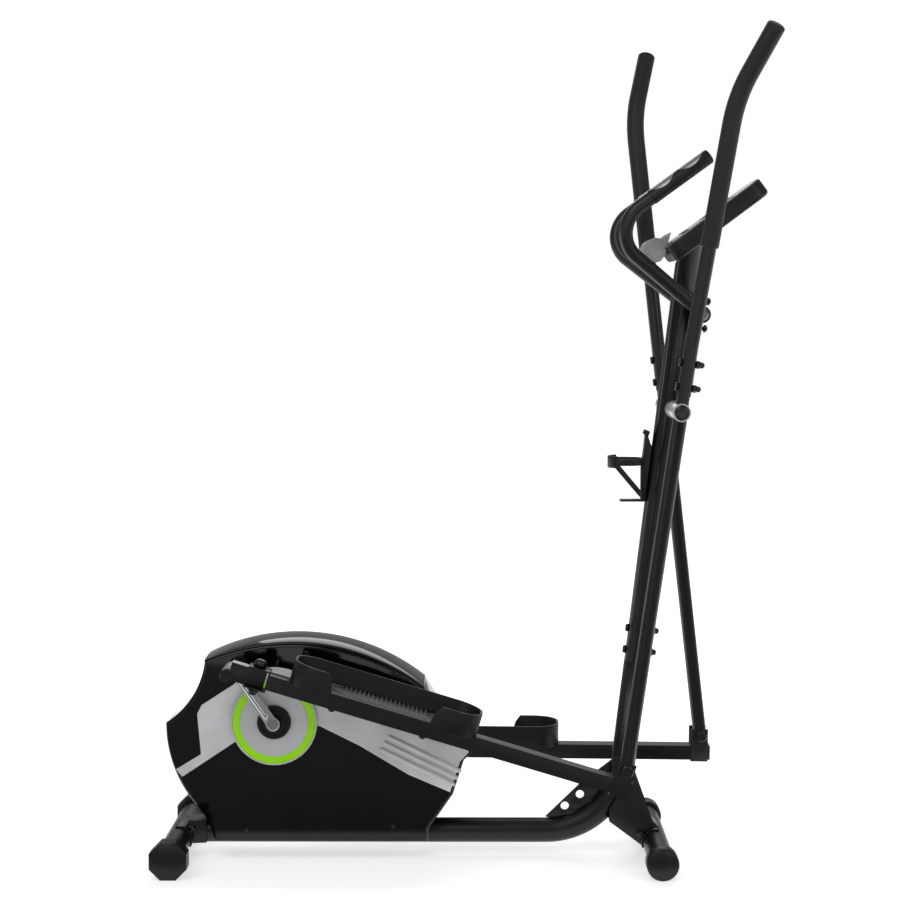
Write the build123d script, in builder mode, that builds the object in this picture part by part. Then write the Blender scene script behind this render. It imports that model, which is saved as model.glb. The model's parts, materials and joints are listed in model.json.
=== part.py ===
from build123d import *
import math
import os

# Elliptical trainer, millimetres. +X points to the front, where the console is, +Y to the
# machine's left and +Z up. The origin is on the floor, below the middle of the machine.
RIGHT, LEFT = -1, 1
SIDE_NAMES = {RIGHT: "right", LEFT: "left"}

# ---------------------------------------------------------------- driving dimensions
# Base frame
MAIN_TUBE_OD = 50.0
TUBE_WALL = 2.0
MAIN_TUBE_Z = 47.6            # height of the long tube's centre line
POST_BASE_X = 316.5           # where the post's axis meets the long tube's centre line
POST_LEAN = 7.0               # degrees forward from upright
MAIN_BEND_RADIUS = 158.0
STUB_LENGTH = 352.0           # straight stub above the long tube's centre line, along the post
INSERT_LENGTH = 95.0          # reduced end of the stub that enters the post
INSERT_GAP = 0.15
CONSOLE_PLATE = 3.0           # plate on the post's top that carries the console

REAR_FOOT_X = -573.0
FRONT_FOOT_X = 397.0
FOOT_TUBE_OD = 50.0
FOOT_WIDTH = 450.0            # stabiliser, over its caps
FOOT_CAP_LENGTH = 42.0
REAR_CAP_FLATS = 74.0         # across the flats of the eight-sided levelling cap
LEVEL_OFFSET = 3.0            # cap's flats off its bore, so that turning it levels the machine
ROLLER_OD = 64.0
CAP_WALL = 4.0                # end wall of the caps and rollers
RUN_GAP = 0.1                 # radial running clearance

# Crank linkage
CRANK_X, CRANK_Z = -374.0, 285.0
CRANK_RADIUS = 140.0
CRANK_ANGLE = 125.3           # right crank, degrees up from the front
PIVOT_Z = 914.0
PIVOT_AHEAD = 7.0             # pivot axis in front of the post's centre line
SWING_LENGTH = 707.5          # upper pivot to lower pivot
PEDAL_BAR_REACH = 804.0       # crank pin to lower pivot
ARM_Y = 180.0                 # plane of the swing arms and pedal bars

# Swing arms and handles
SWING_OD = 28.0
STUB_OD = 25.0                # reduced upper stub that enters the handle
HANDLE_GAP = 0.1
HANDLE_WALL = 1.4
SLEEVE_OD = 36.0
SLEEVE_BORE_RELIEF = 28.0
SLEEVE_LAND = 30.0
PIVOT_AXLE_OD = 20.0
CROSS_TUBE_OD = 30.0
HANDLE_START = 32.0
STUB_TOP = 118.0
HANDLE_BOLTS = (49.0, 96.0)   # heights of the two joint bolts above the pivot
BOLT_OD = 8.0
BOLT_GAP = 0.1
GRIP_START = 322.0
GRIP_OD = 36.0
GRIP_CAP = 6.0
LOWER_BUSH_OD = 26.0
LOWER_BOLT_OD = 12.0

# Pedal bars
BAR_WIDTH = 40.0
BAR_HEIGHT = 30.0
BAR_BELOW_PIVOT = 36.0
BAR_TILT = 3.35               # degrees, bar against the line from crank pin to lower pivot
BAR_FRONT = 20.0              # bar end in front of the lower pivot
LUG_THICKNESS = 3.0
LUG_BACK, LUG_FRONT, LUG_TOP = -21.0, 15.0, 15.0
PIVOT_CAP_OD = 26.0
PLATE_LENGTH = 381.0
PLATE_WIDTH = 130.0
PLATE_FRONT = -302.0
PLATE_WALL = 5.0
PLATE_BASE = 10.0
PLATE_RIM = 46.0              # wall height over the bar
PLATE_CORNER = 52.0
PLATE_SCREWS = (-588.0, -402.0)
YOKE_BOLT_AHEAD = 58.0        # vertical yoke bolt in front of the crank pin
YOKE_TUBE_OD = 28.0
YOKE_HEIGHT = 36.0
YOKE_INNER_Y, YOKE_OUTER_Y = 107.0, 190.0
PIN_OD = 16.0

# Drive inside the shroud
AXLE_OD = 20.0
SHELL_OD = 44.0
SHELL_LEFT_Y, SHELL_RIGHT_Y = 34.0, -24.0
BEARING_WIDTH = 10.0
ARM_INNER_Y = 90.0
ARM_THICKNESS = 13.0
ARM_BOSS_R = 14.0
ARM_EYE_R = 12.0
ARM_ROOT_HALF, ARM_TIP_HALF = 12.0, 9.5     # half widths of the crank arm at its two ends
ARM_GROOVE = 7.0
PULLEY_R = 130.0
PULLEY_Y = -36.0
BELT_WIDTH = 12.0
BELT_THICKNESS = 2.5
BELT_GAP = 0.4
FLYWHEEL_X, FLYWHEEL_Z = -160.0, 215.0
FLYWHEEL_R = 110.0
FLYWHEEL_WIDTH = 30.0
FLYWHEEL_Y = 10.0
SMALL_PULLEY_R = 22.0
FLY_AXLE_OD = 12.0
FORK_RIGHT_Y, FORK_LEFT_Y = -54.0, 38.0
FORK_PLATE = 4.0
IDLER_R = 22.0
MAGNET_GAP = 3.0

# Shroud
SHROUD_HALF = 72.0
SHROUD_WALL = 3.0
SHROUD_BOTTOM_Z = 40.0
TRIM_THICKNESS = 2.0
DISC_R = 87.0
DISC_RING_OUT, DISC_RING_IN = 83.5, 68.6
DISC_HUB_R = 34.0
DISC_DEPTH = 8.0

# Console and fixed hand bar
CONSOLE_ANGLE = 36.6          # degrees, rise of the face towards the front
CONSOLE_LENGTH = 228.0
CONSOLE_WIDTH = 190.0
CONSOLE_THICKNESS = 36.0
CONSOLE_X, CONSOLE_Z = 407.0, 1236.0     # lower edge of the console's face
CONSOLE_WALL = 3.0
PULSE_OD = 27.0
PULSE_CLAMP_Z = 1108.0
PULSE_POST_GAP = 0.5

# Bottle cage
CAGE_Z = 806.0                # middle of the cage's hoop
CAGE_HOOP_R = 38.0
CAGE_WALL = 4.0

# Plates and bolts of the base
GUSSET_THICKNESS = 5.0
BRACKET_WIDTH = 60.0
SADDLE_THICKNESS = 4.0
FOOT_BOLT_Y = 41.0
FOOT_BOLT_ANGLES = {"rear": 38.0, "front": 150.0}

# Handle shape
LEVER_FLARE = 65.0            # handle bend, outwards from the arm's plane
TOP_FLARE = 125.0             # handle top, outwards from the arm's plane
HANDLE_BEND = (6.0, 608.0)    # handle bend, ahead of the arm's line and above the pivot
HANDLE_TOP = (52.0, 739.0)
HANDLE_RADII = (150.0, 250.0)

# Yoke bracket
BRACKET_THICKNESS = 3.0

# Shroud outline
SEAM_REAR = (-514.0, 408.0)
SEAM_FRONT = (-72.0, 354.0)
SEAM_TOP = (-325.0, 443.0)
SHROUD_FILLET = 7.0
COVER_FILLET = 3.0

# Console face
BEZEL = 3.0
KEY_TRAVEL = 1.0
KEY_SIZE = (22.0, 14.0)
KEY_GAP = 0.4
SCREEN = (78.0, 120.0)
TABLET_WIDTH = 110.0

# Fixed hand bar and its clamp
PULSE_WALL = 2.0
PULSE_TIP = (484.0, 135.0, 1410.0)
PULSE_CORNER = (285.0, 150.0, 1266.0)
PULSE_SHOULDER_Y = 60.0
PULSE_RADII = (62, 40, 40, 62)
SENSOR_OD = 31.0
CLAMP_WALL = 4.0
CLAMP_HALF = 32.0
CLAMP_BOLT_TAIL = 18.0        # clamp bolt in front of its strap

REAR_FOOT_Z = REAR_CAP_FLATS / 2
FRONT_FOOT_Z = ROLLER_OD / 2
MAIN_R = MAIN_TUBE_OD / 2
POST_SLOPE = math.radians(POST_LEAN)
POST_UP = Vector(math.sin(POST_SLOPE), 0, math.cos(POST_SLOPE))
POST_FORWARD = Vector(math.cos(POST_SLOPE), 0, -math.sin(POST_SLOPE))
POST_BASE = Vector(POST_BASE_X, 0, MAIN_TUBE_Z)
HANDLE_ID = STUB_OD + 2 * HANDLE_GAP
HANDLE_OD = HANDLE_ID + 2 * HANDLE_WALL


# ---------------------------------------------------------------- the linkage at rest
def post_point(height, ahead=0.0, y=0.0):
    """Point at a height on the post's axis, moved ahead of the post and sideways."""
    along = (height - MAIN_TUBE_Z) / POST_UP.Z
    point = POST_BASE + POST_UP * along + POST_FORWARD * ahead
    return Vector(point.X, y, point.Z)


PIVOT = post_point(PIVOT_Z, PIVOT_AHEAD)


def crank_direction(side):
    """Unit vector from the crank's centre to one side's pin."""
    angle = math.radians(CRANK_ANGLE + (180.0 if side == LEFT else 0.0))
    return Vector(math.cos(angle), 0, math.sin(angle))


def crank_pin(side, y=0.0):
    """Centre of one side's crank pin."""
    pin = Vector(CRANK_X, 0, CRANK_Z) + crank_direction(side) * CRANK_RADIUS
    return Vector(pin.X, y, pin.Z)


def swing_angle(side):
    """Angle in radians by which the arm's lower end stands behind the pivot."""
    pin = crank_pin(side)
    reach = math.hypot(PIVOT.X - pin.X, PIVOT.Z - pin.Z)
    towards_pin = math.atan2(pin.Z - PIVOT.Z, pin.X - PIVOT.X)
    cosine = (SWING_LENGTH**2 + reach**2 - PEDAL_BAR_REACH**2) / (2 * SWING_LENGTH * reach)
    return -(towards_pin + math.acos(cosine) + math.pi / 2)


def arm_point(side, ahead, up, out=0.0):
    """Point in a swing arm's own frame: ahead of its line, above its pivot and outwards."""
    lean = swing_angle(side)
    x = PIVOT.X + ahead * math.cos(lean) + up * math.sin(lean)
    z = PIVOT.Z - ahead * math.sin(lean) + up * math.cos(lean)
    return Vector(x, side * (ARM_Y + out), z)


def lower_pivot(side):
    """Joint between a swing arm and its pedal bar."""
    return arm_point(side, 0, -SWING_LENGTH)


def bar_slope(side):
    """Rise of a pedal bar towards the front, in radians."""
    pin = crank_pin(side)
    front = lower_pivot(side)
    return math.atan2(front.Z - pin.Z, front.X - pin.X) - math.radians(BAR_TILT)


def bar_point(side, ahead, up, out=0.0):
    """Point in a pedal bar's own frame: along the bar from the lower pivot, up and outwards."""
    slope = bar_slope(side)
    front = lower_pivot(side)
    x = front.X + ahead * math.cos(slope) - up * math.sin(slope)
    z = front.Z + ahead * math.sin(slope) + up * math.cos(slope)
    return Vector(x, side * (ARM_Y + out), z)


# ---------------------------------------------------------------- shared building steps
def side_plane(y=0.0):
    """Upright plane along the machine: sketch x is forward, sketch y is up."""
    return Plane(origin=(0, y, 0), x_dir=(1, 0, 0), z_dir=(0, -1, 0))


def across(centre):
    """Plane facing sideways at a point, for shafts and holes that run across the machine."""
    return Plane(origin=centre, x_dir=(1, 0, 0), z_dir=(0, 1, 0))


def rod(start, end, diameter, bore=0.0, mode=Mode.ADD):
    """Round bar or tube between two points, added to the part being built."""
    axis = Vector(end) - Vector(start)
    with BuildSketch(Plane(origin=start, z_dir=axis)) as profile:
        Circle(diameter / 2)
        if bore:
            Circle(bore / 2, mode=Mode.SUBTRACT)
    extrude(profile.sketch, amount=axis.length, mode=mode)


def cross_rod(centre, y_start, y_end, diameter, bore=0.0, mode=Mode.ADD):
    """Round bar or tube across the machine between two side positions."""
    low, high = sorted((y_start, y_end))
    rod((centre.X, low, centre.Z), (centre.X, high, centre.Z), diameter, bore, mode)


def finish(part, name):
    """Label a finished sub-part and write it."""
    part.label = name
    export_step(part, f"parts/{name}.step")


os.makedirs("parts", exist_ok=True)

# ---------------------------------------------------------------- main tube and its stub
bend_tangent = MAIN_BEND_RADIUS * math.tan(math.radians(90 - POST_LEAN) / 2)
main_rear = Vector(REAR_FOOT_X + 27, 0, MAIN_TUBE_Z)
stub_top = POST_BASE + POST_UP * STUB_LENGTH
insert_top = stub_top + POST_UP * INSERT_LENGTH
insert_od = MAIN_TUBE_OD - 2 * TUBE_WALL - 2 * INSERT_GAP
post_bolt_heights = (stub_top.Z + 22, stub_top.Z + 66)

with BuildLine() as main_path:
    FilletPolyline(main_rear, POST_BASE, stub_top, radius=MAIN_BEND_RADIUS)
main_line = main_path.line

with BuildPart() as main_tube:
    with BuildSketch(Plane(origin=main_line @ 0, z_dir=main_line % 0)):
        Circle(MAIN_R)
        Circle(MAIN_R - TUBE_WALL, mode=Mode.SUBTRACT)
    sweep(path=main_line)
    rod(stub_top - POST_UP * 20, stub_top, MAIN_TUBE_OD - 1, insert_od - 5)
    rod(stub_top - POST_UP * 20, insert_top, insert_od, insert_od - 5)
    for height in post_bolt_heights:
        rod(post_point(height, -MAIN_R), post_point(height, MAIN_R), BOLT_OD + 2 * BOLT_GAP,
            mode=Mode.SUBTRACT)
finish(main_tube.part, "main_tube")

# ---------------------------------------------------------------- plates welded to the tube
foot_r = FOOT_TUBE_OD / 2
saddle_half = 50.0


def saddle(foot_x, foot_z, start_angle, end_angle):
    """Curved strip lying on a stabiliser tube between two angles around it."""
    outer = foot_r + SADDLE_THICKNESS
    with BuildSketch(side_plane()) as strip:
        with BuildLine():
            inner_arc = CenterArc((foot_x, foot_z), foot_r, start_angle,
                                  end_angle - start_angle)
            outer_arc = CenterArc((foot_x, foot_z), outer, start_angle,
                                  end_angle - start_angle)
            Line(inner_arc @ 0, outer_arc @ 0)
            Line(inner_arc @ 1, outer_arc @ 1)
        make_face()
    extrude(strip.sketch, amount=saddle_half, both=True)


def foot_bolt_line(foot, y):
    """Ends of a stabiliser bolt, from its nut under the saddle to its head."""
    x, z = (REAR_FOOT_X, REAR_FOOT_Z) if foot == "rear" else (FRONT_FOOT_X, FRONT_FOOT_Z)
    angle = math.radians(FOOT_BOLT_ANGLES[foot])
    direction = Vector(math.cos(angle), 0, math.sin(angle))
    centre = Vector(x, y, z)
    return centre + direction * (foot_r + SADDLE_THICKNESS), centre - direction * foot_r


def foot_bolt_holes(foot):
    """Holes for a stabiliser's two bolts."""
    for y in (-FOOT_BOLT_Y, FOOT_BOLT_Y):
        nut, head = foot_bolt_line(foot, y)
        outward = (nut - head).normalized() * 3
        rod(head - outward, nut + outward, BOLT_OD + 2 * BOLT_GAP, mode=Mode.SUBTRACT)


def tube_clearance():
    """Cut away what the long tube fills."""
    with BuildSketch(Plane(origin=main_line @ 0, z_dir=main_line % 0)) as filled:
        Circle(MAIN_R)
    sweep(filled.sketch, path=main_line, mode=Mode.SUBTRACT)


front_top = post_point(176.0, MAIN_R)
with BuildPart() as front_bracket:
    with BuildSketch(side_plane()):
        with BuildLine():
            Polyline(
                (front_top.X - 6, front_top.Z),
                (front_top.X, front_top.Z),
                (FRONT_FOOT_X - 4, FRONT_FOOT_Z + foot_r + 16),
                (FRONT_FOOT_X + 8, FRONT_FOOT_Z + foot_r + 3),
                (FRONT_FOOT_X, FRONT_FOOT_Z),
                (FRONT_FOOT_X - foot_r - 3, FRONT_FOOT_Z - 8),
                (POST_BASE_X - 12, MAIN_TUBE_Z + 24),
                (POST_BASE_X - 12, MAIN_TUBE_Z + 50),
                close=True,
            )
        make_face()
    extrude(amount=BRACKET_WIDTH / 2, both=True)
    with BuildSketch(side_plane()):
        with BuildLine():
            Polyline(
                (front_top.X - 12, front_top.Z + 5),
                (front_top.X - 5, front_top.Z + 5),
                (FRONT_FOOT_X - 9, FRONT_FOOT_Z + foot_r + 12),
                (FRONT_FOOT_X - foot_r - 1, FRONT_FOOT_Z + 1),
                (POST_BASE_X - 20, MAIN_TUBE_Z + 33),
                (POST_BASE_X - 20, MAIN_TUBE_Z + 50),
                close=True,
            )
        make_face()
    extrude(amount=BRACKET_WIDTH / 2 - 3, both=True, mode=Mode.SUBTRACT)
    saddle(FRONT_FOOT_X, FRONT_FOOT_Z, 75, 200)
    cross_rod(Vector(FRONT_FOOT_X, 0, FRONT_FOOT_Z), -saddle_half, saddle_half, FOOT_TUBE_OD,
              mode=Mode.SUBTRACT)
    foot_bolt_holes("front")
    tube_clearance()

with BuildPart() as rear_bracket:
    saddle(REAR_FOOT_X, REAR_FOOT_Z, -30, 100)
    with BuildSketch(side_plane()):
        with BuildLine():
            Polyline(
                (REAR_FOOT_X + foot_r - 6, MAIN_TUBE_Z + MAIN_R),
                (REAR_FOOT_X + foot_r + 30, MAIN_TUBE_Z + MAIN_R),
                (REAR_FOOT_X + foot_r + 30, MAIN_TUBE_Z - MAIN_R + 4),
                (REAR_FOOT_X + foot_r - 4, REAR_FOOT_Z - 12),
                (REAR_FOOT_X, REAR_FOOT_Z),
                close=True,
            )
        make_face()
    extrude(amount=MAIN_R + 3, both=True)
    cross_rod(Vector(REAR_FOOT_X, 0, REAR_FOOT_Z), -saddle_half, saddle_half, FOOT_TUBE_OD,
              mode=Mode.SUBTRACT)
    foot_bolt_holes("rear")
    tube_clearance()

gusset_rear = POST_BASE_X - bend_tangent - 2
gusset_top = post_point(190.0, -MAIN_R)
with BuildPart() as gusset:
    with BuildSketch(side_plane()):
        with BuildLine():
            Polyline(
                (gusset_rear, MAIN_TUBE_Z + MAIN_R + 3),
                (POST_BASE_X - 73, 142.5),
                (gusset_top.X, gusset_top.Z),
                (gusset_top.X + 8, gusset_top.Z - 40),
                (POST_BASE_X - 68, MAIN_TUBE_Z + 45),
                (gusset_rear + 20, MAIN_TUBE_Z + MAIN_R - 2),
                close=True,
            )
        make_face()
        with Locations((POST_BASE_X - 102, 98.0), (POST_BASE_X - 71, 122.0)):
            Circle(8.5, mode=Mode.SUBTRACT)
    extrude(amount=GUSSET_THICKNESS / 2, both=True)
    tube_clearance()

frame_brackets = Compound(children=[
    front_bracket.part.solids().sort_by(SortBy.VOLUME)[-1],
    rear_bracket.part.solids().sort_by(SortBy.VOLUME)[-1],
    gusset.part.solids().sort_by(SortBy.VOLUME)[-1],
])
finish(frame_brackets, "frame_brackets")

# ---------------------------------------------------------------- post with its cross tube
pulse_centre = post_point(PULSE_CLAMP_Z, MAIN_R + PULSE_OD / 2 + PULSE_POST_GAP)
clamp_bolt_offset = POST_UP * (PULSE_OD / 2 + 14)
console_rise = math.radians(CONSOLE_ANGLE)
console_face = Plane(origin=(CONSOLE_X, 0, CONSOLE_Z),
                     x_dir=(math.cos(console_rise), 0, math.sin(console_rise)),
                     z_dir=(-math.sin(console_rise), 0, math.cos(console_rise)))
console_back = console_face.offset(-CONSOLE_THICKNESS)
post_top = post_point(CONSOLE_Z)
plate_middle = console_face.to_local_coords(post_top).X + 14
with BuildPart() as upright_post:
    rod(stub_top, post_top + POST_UP * 40, MAIN_TUBE_OD, MAIN_TUBE_OD - 2 * TUBE_WALL)
    with BuildSketch(console_back.offset(-CONSOLE_PLATE)):
        with Locations((plate_middle, 0)):
            Rectangle(4 * MAIN_TUBE_OD, 4 * MAIN_TUBE_OD)
    extrude(amount=3 * MAIN_TUBE_OD, mode=Mode.SUBTRACT)
    with BuildSketch(console_back.offset(-CONSOLE_PLATE)):
        with Locations((plate_middle, 0)):
            RectangleRounded(96, 76, 10)
    extrude(amount=CONSOLE_PLATE)
    cross_rod(PIVOT, -MAIN_R - 1, MAIN_R + 1, CROSS_TUBE_OD)
    cross_rod(PIVOT, -MAIN_R - 2, MAIN_R + 2, PIVOT_AXLE_OD, mode=Mode.SUBTRACT)
    for height in post_bolt_heights:
        rod(post_point(height, -MAIN_R - 2), post_point(height, MAIN_R + 2),
            BOLT_OD + 2 * BOLT_GAP, mode=Mode.SUBTRACT)
    for direction in (-1, 1):
        hole = pulse_centre + clamp_bolt_offset * direction
        rod(hole - POST_FORWARD * (MAIN_R + 14), hole, BOLT_OD + 2 * BOLT_GAP,
            mode=Mode.SUBTRACT)
finish(upright_post.part, "upright_post")

# ---------------------------------------------------------------- stabilisers
foot_tube_half = FOOT_WIDTH / 2 - CAP_WALL - 1
for foot, x, z in (("rear", REAR_FOOT_X, REAR_FOOT_Z), ("front", FRONT_FOOT_X, FRONT_FOOT_Z)):
    with BuildPart() as stabiliser:
        cross_rod(Vector(x, 0, z), -foot_tube_half, foot_tube_half, FOOT_TUBE_OD,
                  FOOT_TUBE_OD - 2 * TUBE_WALL)
        foot_bolt_holes(foot)
    finish(stabiliser.part, f"{foot}_stabiliser")


def foot_cap(side, x, z, across, flat_count=0):
    """Cap that turns on a stabiliser's end: a closed cup, round or with flat faces."""
    inner = side * (FOOT_WIDTH / 2 - FOOT_CAP_LENGTH)
    wall_start = side * (FOOT_WIDTH / 2 - CAP_WALL)
    with BuildPart() as cap:
        offset_x = LEVEL_OFFSET if flat_count else 0
        with BuildSketch(Plane(origin=(x + offset_x, inner, z), x_dir=(1, 0, 0),
                               z_dir=(0, side, 0))):
            if flat_count:
                RegularPolygon(across / 2, flat_count, major_radius=False,
                               rotation=180 / flat_count)
            else:
                Circle(across / 2)
        extrude(amount=FOOT_CAP_LENGTH)
        chamfer(cap.faces().sort_by(Axis.Y)[-1 if side > 0 else 0].edges(), 3)
        cross_rod(Vector(x, 0, z), inner - side, wall_start, FOOT_TUBE_OD + 2 * RUN_GAP,
                  mode=Mode.SUBTRACT)
    return cap.part


for side in (RIGHT, LEFT):
    finish(foot_cap(side, REAR_FOOT_X, REAR_FOOT_Z, REAR_CAP_FLATS, 8),
           f"levelling_cap_{SIDE_NAMES[side]}")
    finish(foot_cap(side, FRONT_FOOT_X, FRONT_FOOT_Z, ROLLER_OD),
           f"transport_roller_{SIDE_NAMES[side]}")

# ---------------------------------------------------------------- swing arms and handles
sleeve_inner = MAIN_R + 3.0
sleeve_outer = ARM_Y + SWING_OD / 2 + 2
axle_clearance = PIVOT_AXLE_OD + 2 * RUN_GAP


def make_swing_arm(side):
    """Lower tube and upper stub, coped to the pivot sleeve, with the bush tube below."""
    lower = lower_pivot(side)
    with BuildPart() as arm:
        rod(arm_point(side, 0, 4 - SWING_LENGTH), arm_point(side, 0, 0), SWING_OD,
            SWING_OD - 2 * TUBE_WALL)
        rod(arm_point(side, 0, 0), arm_point(side, 0, STUB_TOP), STUB_OD,
            STUB_OD - 2 * TUBE_WALL)
        cross_rod(PIVOT, side * (ARM_Y - SWING_OD), side * (ARM_Y + SWING_OD), SLEEVE_OD,
                  mode=Mode.SUBTRACT)
        half = BAR_WIDTH / 2 - 0.5
        cross_rod(lower, side * (ARM_Y - half), side * (ARM_Y + half), LOWER_BUSH_OD,
                  mode=Mode.SUBTRACT)
        cross_rod(lower, side * (ARM_Y - half), side * (ARM_Y + half), LOWER_BUSH_OD,
                  LOWER_BOLT_OD + 2 * RUN_GAP)
        for up in HANDLE_BOLTS:
            rod(arm_point(side, -SWING_OD, up), arm_point(side, SWING_OD, up),
                BOLT_OD + 2 * BOLT_GAP, mode=Mode.SUBTRACT)
    return arm.part


def make_sleeve(side):
    """Bushed sleeve that turns on the pivot axle."""
    inner, outer = side * sleeve_inner, side * sleeve_outer
    with BuildPart() as sleeve:
        cross_rod(PIVOT, inner, outer, SLEEVE_OD, axle_clearance)
        cross_rod(PIVOT, inner + side * SLEEVE_LAND, outer - side * SLEEVE_LAND,
                  SLEEVE_BORE_RELIEF, mode=Mode.SUBTRACT)
    return sleeve.part


def handle_line(side, start):
    """Centre line of an upper handle from a height above the pivot to its top."""
    first_bend = 130.0
    bend = arm_point(side, *HANDLE_BEND, LEVER_FLARE)
    top = arm_point(side, *HANDLE_TOP, TOP_FLARE)
    low_bend = arm_point(side, 0, first_bend)
    with BuildLine() as line:
        if start < first_bend:
            FilletPolyline(arm_point(side, 0, start), low_bend, bend, top, radius=HANDLE_RADII)
        else:
            share = (start - first_bend) / (HANDLE_BEND[1] - first_bend)
            begin = low_bend + (bend - low_bend) * share
            FilletPolyline(begin, bend, top, radius=HANDLE_RADII[1])
    return line.line


def sweep_tube(line, outer, inner):
    """Tube of the given diameters along a line."""
    with BuildPart() as tube:
        with BuildSketch(Plane(origin=line @ 0, z_dir=line % 0)) as ring:
            Circle(outer / 2)
            Circle(inner / 2, mode=Mode.SUBTRACT)
        sweep(ring.sketch, path=line)
    return tube.part


def make_handle(side):
    """Bent upper handle that slips over the arm's stub."""
    with BuildPart() as handle:
        add(sweep_tube(handle_line(side, HANDLE_START), HANDLE_OD, HANDLE_ID))
        for up in HANDLE_BOLTS:
            rod(arm_point(side, -HANDLE_OD, up), arm_point(side, HANDLE_OD, up),
                BOLT_OD + 2 * BOLT_GAP, mode=Mode.SUBTRACT)
    return handle.part


def make_grip(side):
    """Foam grip over the handle, closed at the top."""
    line = handle_line(side, GRIP_START)
    with BuildPart() as grip:
        add(sweep_tube(line, GRIP_OD, HANDLE_OD))
        rod(line @ 1, line @ 1 + (line % 1) * GRIP_CAP, GRIP_OD)
        fillet(grip.faces().sort_by(Axis.Z)[-1].edges(), 4)
    return grip.part


def dome(base, direction, diameter, height):
    """Round domed head standing on a base point."""
    axis = Vector(direction).normalized()
    with BuildPart() as head:
        rod(base, Vector(base) + axis * height, diameter)
        fillet(head.faces().sort_by(lambda f: f.center().dot(axis))[-1].edges(), height * 0.6)
    add(head.part)


def acorn_nut(base, direction, across_flats, height):
    """Hexagon nut with a domed end, standing on a base point."""
    axis = Vector(direction).normalized()
    with BuildSketch(Plane(origin=base, z_dir=axis)) as hexagon:
        RegularPolygon(across_flats / 2, 6, major_radius=False)
    extrude(hexagon.sketch, amount=height * 0.45)
    dome(Vector(base) + axis * height * 0.45, axis, across_flats - 1, height * 0.55)


def make_arm_hardware(side):
    """Two joint bolts with acorn nuts, and the round cap on the pivot sleeve."""
    with BuildPart() as hardware:
        for up in HANDLE_BOLTS:
            back = arm_point(side, -HANDLE_OD / 2 - 0.3, up)
            front = arm_point(side, HANDLE_OD / 2 + 0.3, up)
            forward = (front - back).normalized()
            rod(back - forward, front + forward * 8, BOLT_OD)
            dome(back, forward * -1, 16, 5)
            acorn_nut(front, forward, 13, 17)
        cap_base = Vector(PIVOT.X, side * sleeve_outer, PIVOT.Z)
        dome(cap_base, (0, side, 0), SLEEVE_OD - 6, 10)
    return hardware.part


for side in (RIGHT, LEFT):
    hand = SIDE_NAMES[side]
    finish(make_swing_arm(side), f"swing_arm_{hand}")
    finish(make_sleeve(side), f"pivot_sleeve_{hand}")
    finish(make_handle(side), f"upper_handle_{hand}")
    finish(make_grip(side), f"foam_grip_{hand}")
    finish(make_arm_hardware(side), f"arm_hardware_{hand}")

axle_end = sleeve_outer - 2
with BuildPart() as pivot_axle:
    cross_rod(PIVOT, -axle_end, axle_end, PIVOT_AXLE_OD)
    chamfer(pivot_axle.edges().filter_by(GeomType.CIRCLE), 1)
finish(pivot_axle.part, "pivot_axle")

# ---------------------------------------------------------------- pedal bars
yoke_bolt_u = -PEDAL_BAR_REACH + YOKE_BOLT_AHEAD
bracket_back = yoke_bolt_u - 20.0
bar_back = yoke_bolt_u + 22.0
yoke_gap = 0.5
bracket_half = YOKE_HEIGHT / 2 + yoke_gap + BRACKET_THICKNESS
PLATE_BOTTOM = -BAR_BELOW_PIVOT + BAR_HEIGHT / 2


def bar_plane(side, out=0.0):
    """Side plane of a pedal bar: sketch x runs along the bar, sketch y up."""
    slope = bar_slope(side)
    origin = Vector(lower_pivot(side).X, side * (ARM_Y + out), lower_pivot(side).Z)
    return Plane(origin=origin, x_dir=(math.cos(slope), 0, math.sin(slope)),
                 z_dir=(0, -1, 0))


def top_plane(side, up):
    """Plane along a pedal bar facing up: sketch x along the bar, sketch y to the left."""
    slope = bar_slope(side)
    return Plane(origin=bar_point(side, 0, up), x_dir=(math.cos(slope), 0, math.sin(slope)),
                 z_dir=(-math.sin(slope), 0, math.cos(slope)))


def bar_box(side, back, front, low, high, width, mode=Mode.ADD):
    """Block along a pedal bar, centred on the bar's plane."""
    with BuildSketch(bar_plane(side)) as outline:
        with Locations(((back + front) / 2, (low + high) / 2)):
            Rectangle(front - back, high - low)
    extrude(outline.sketch, amount=width / 2, both=True, mode=mode)


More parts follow.
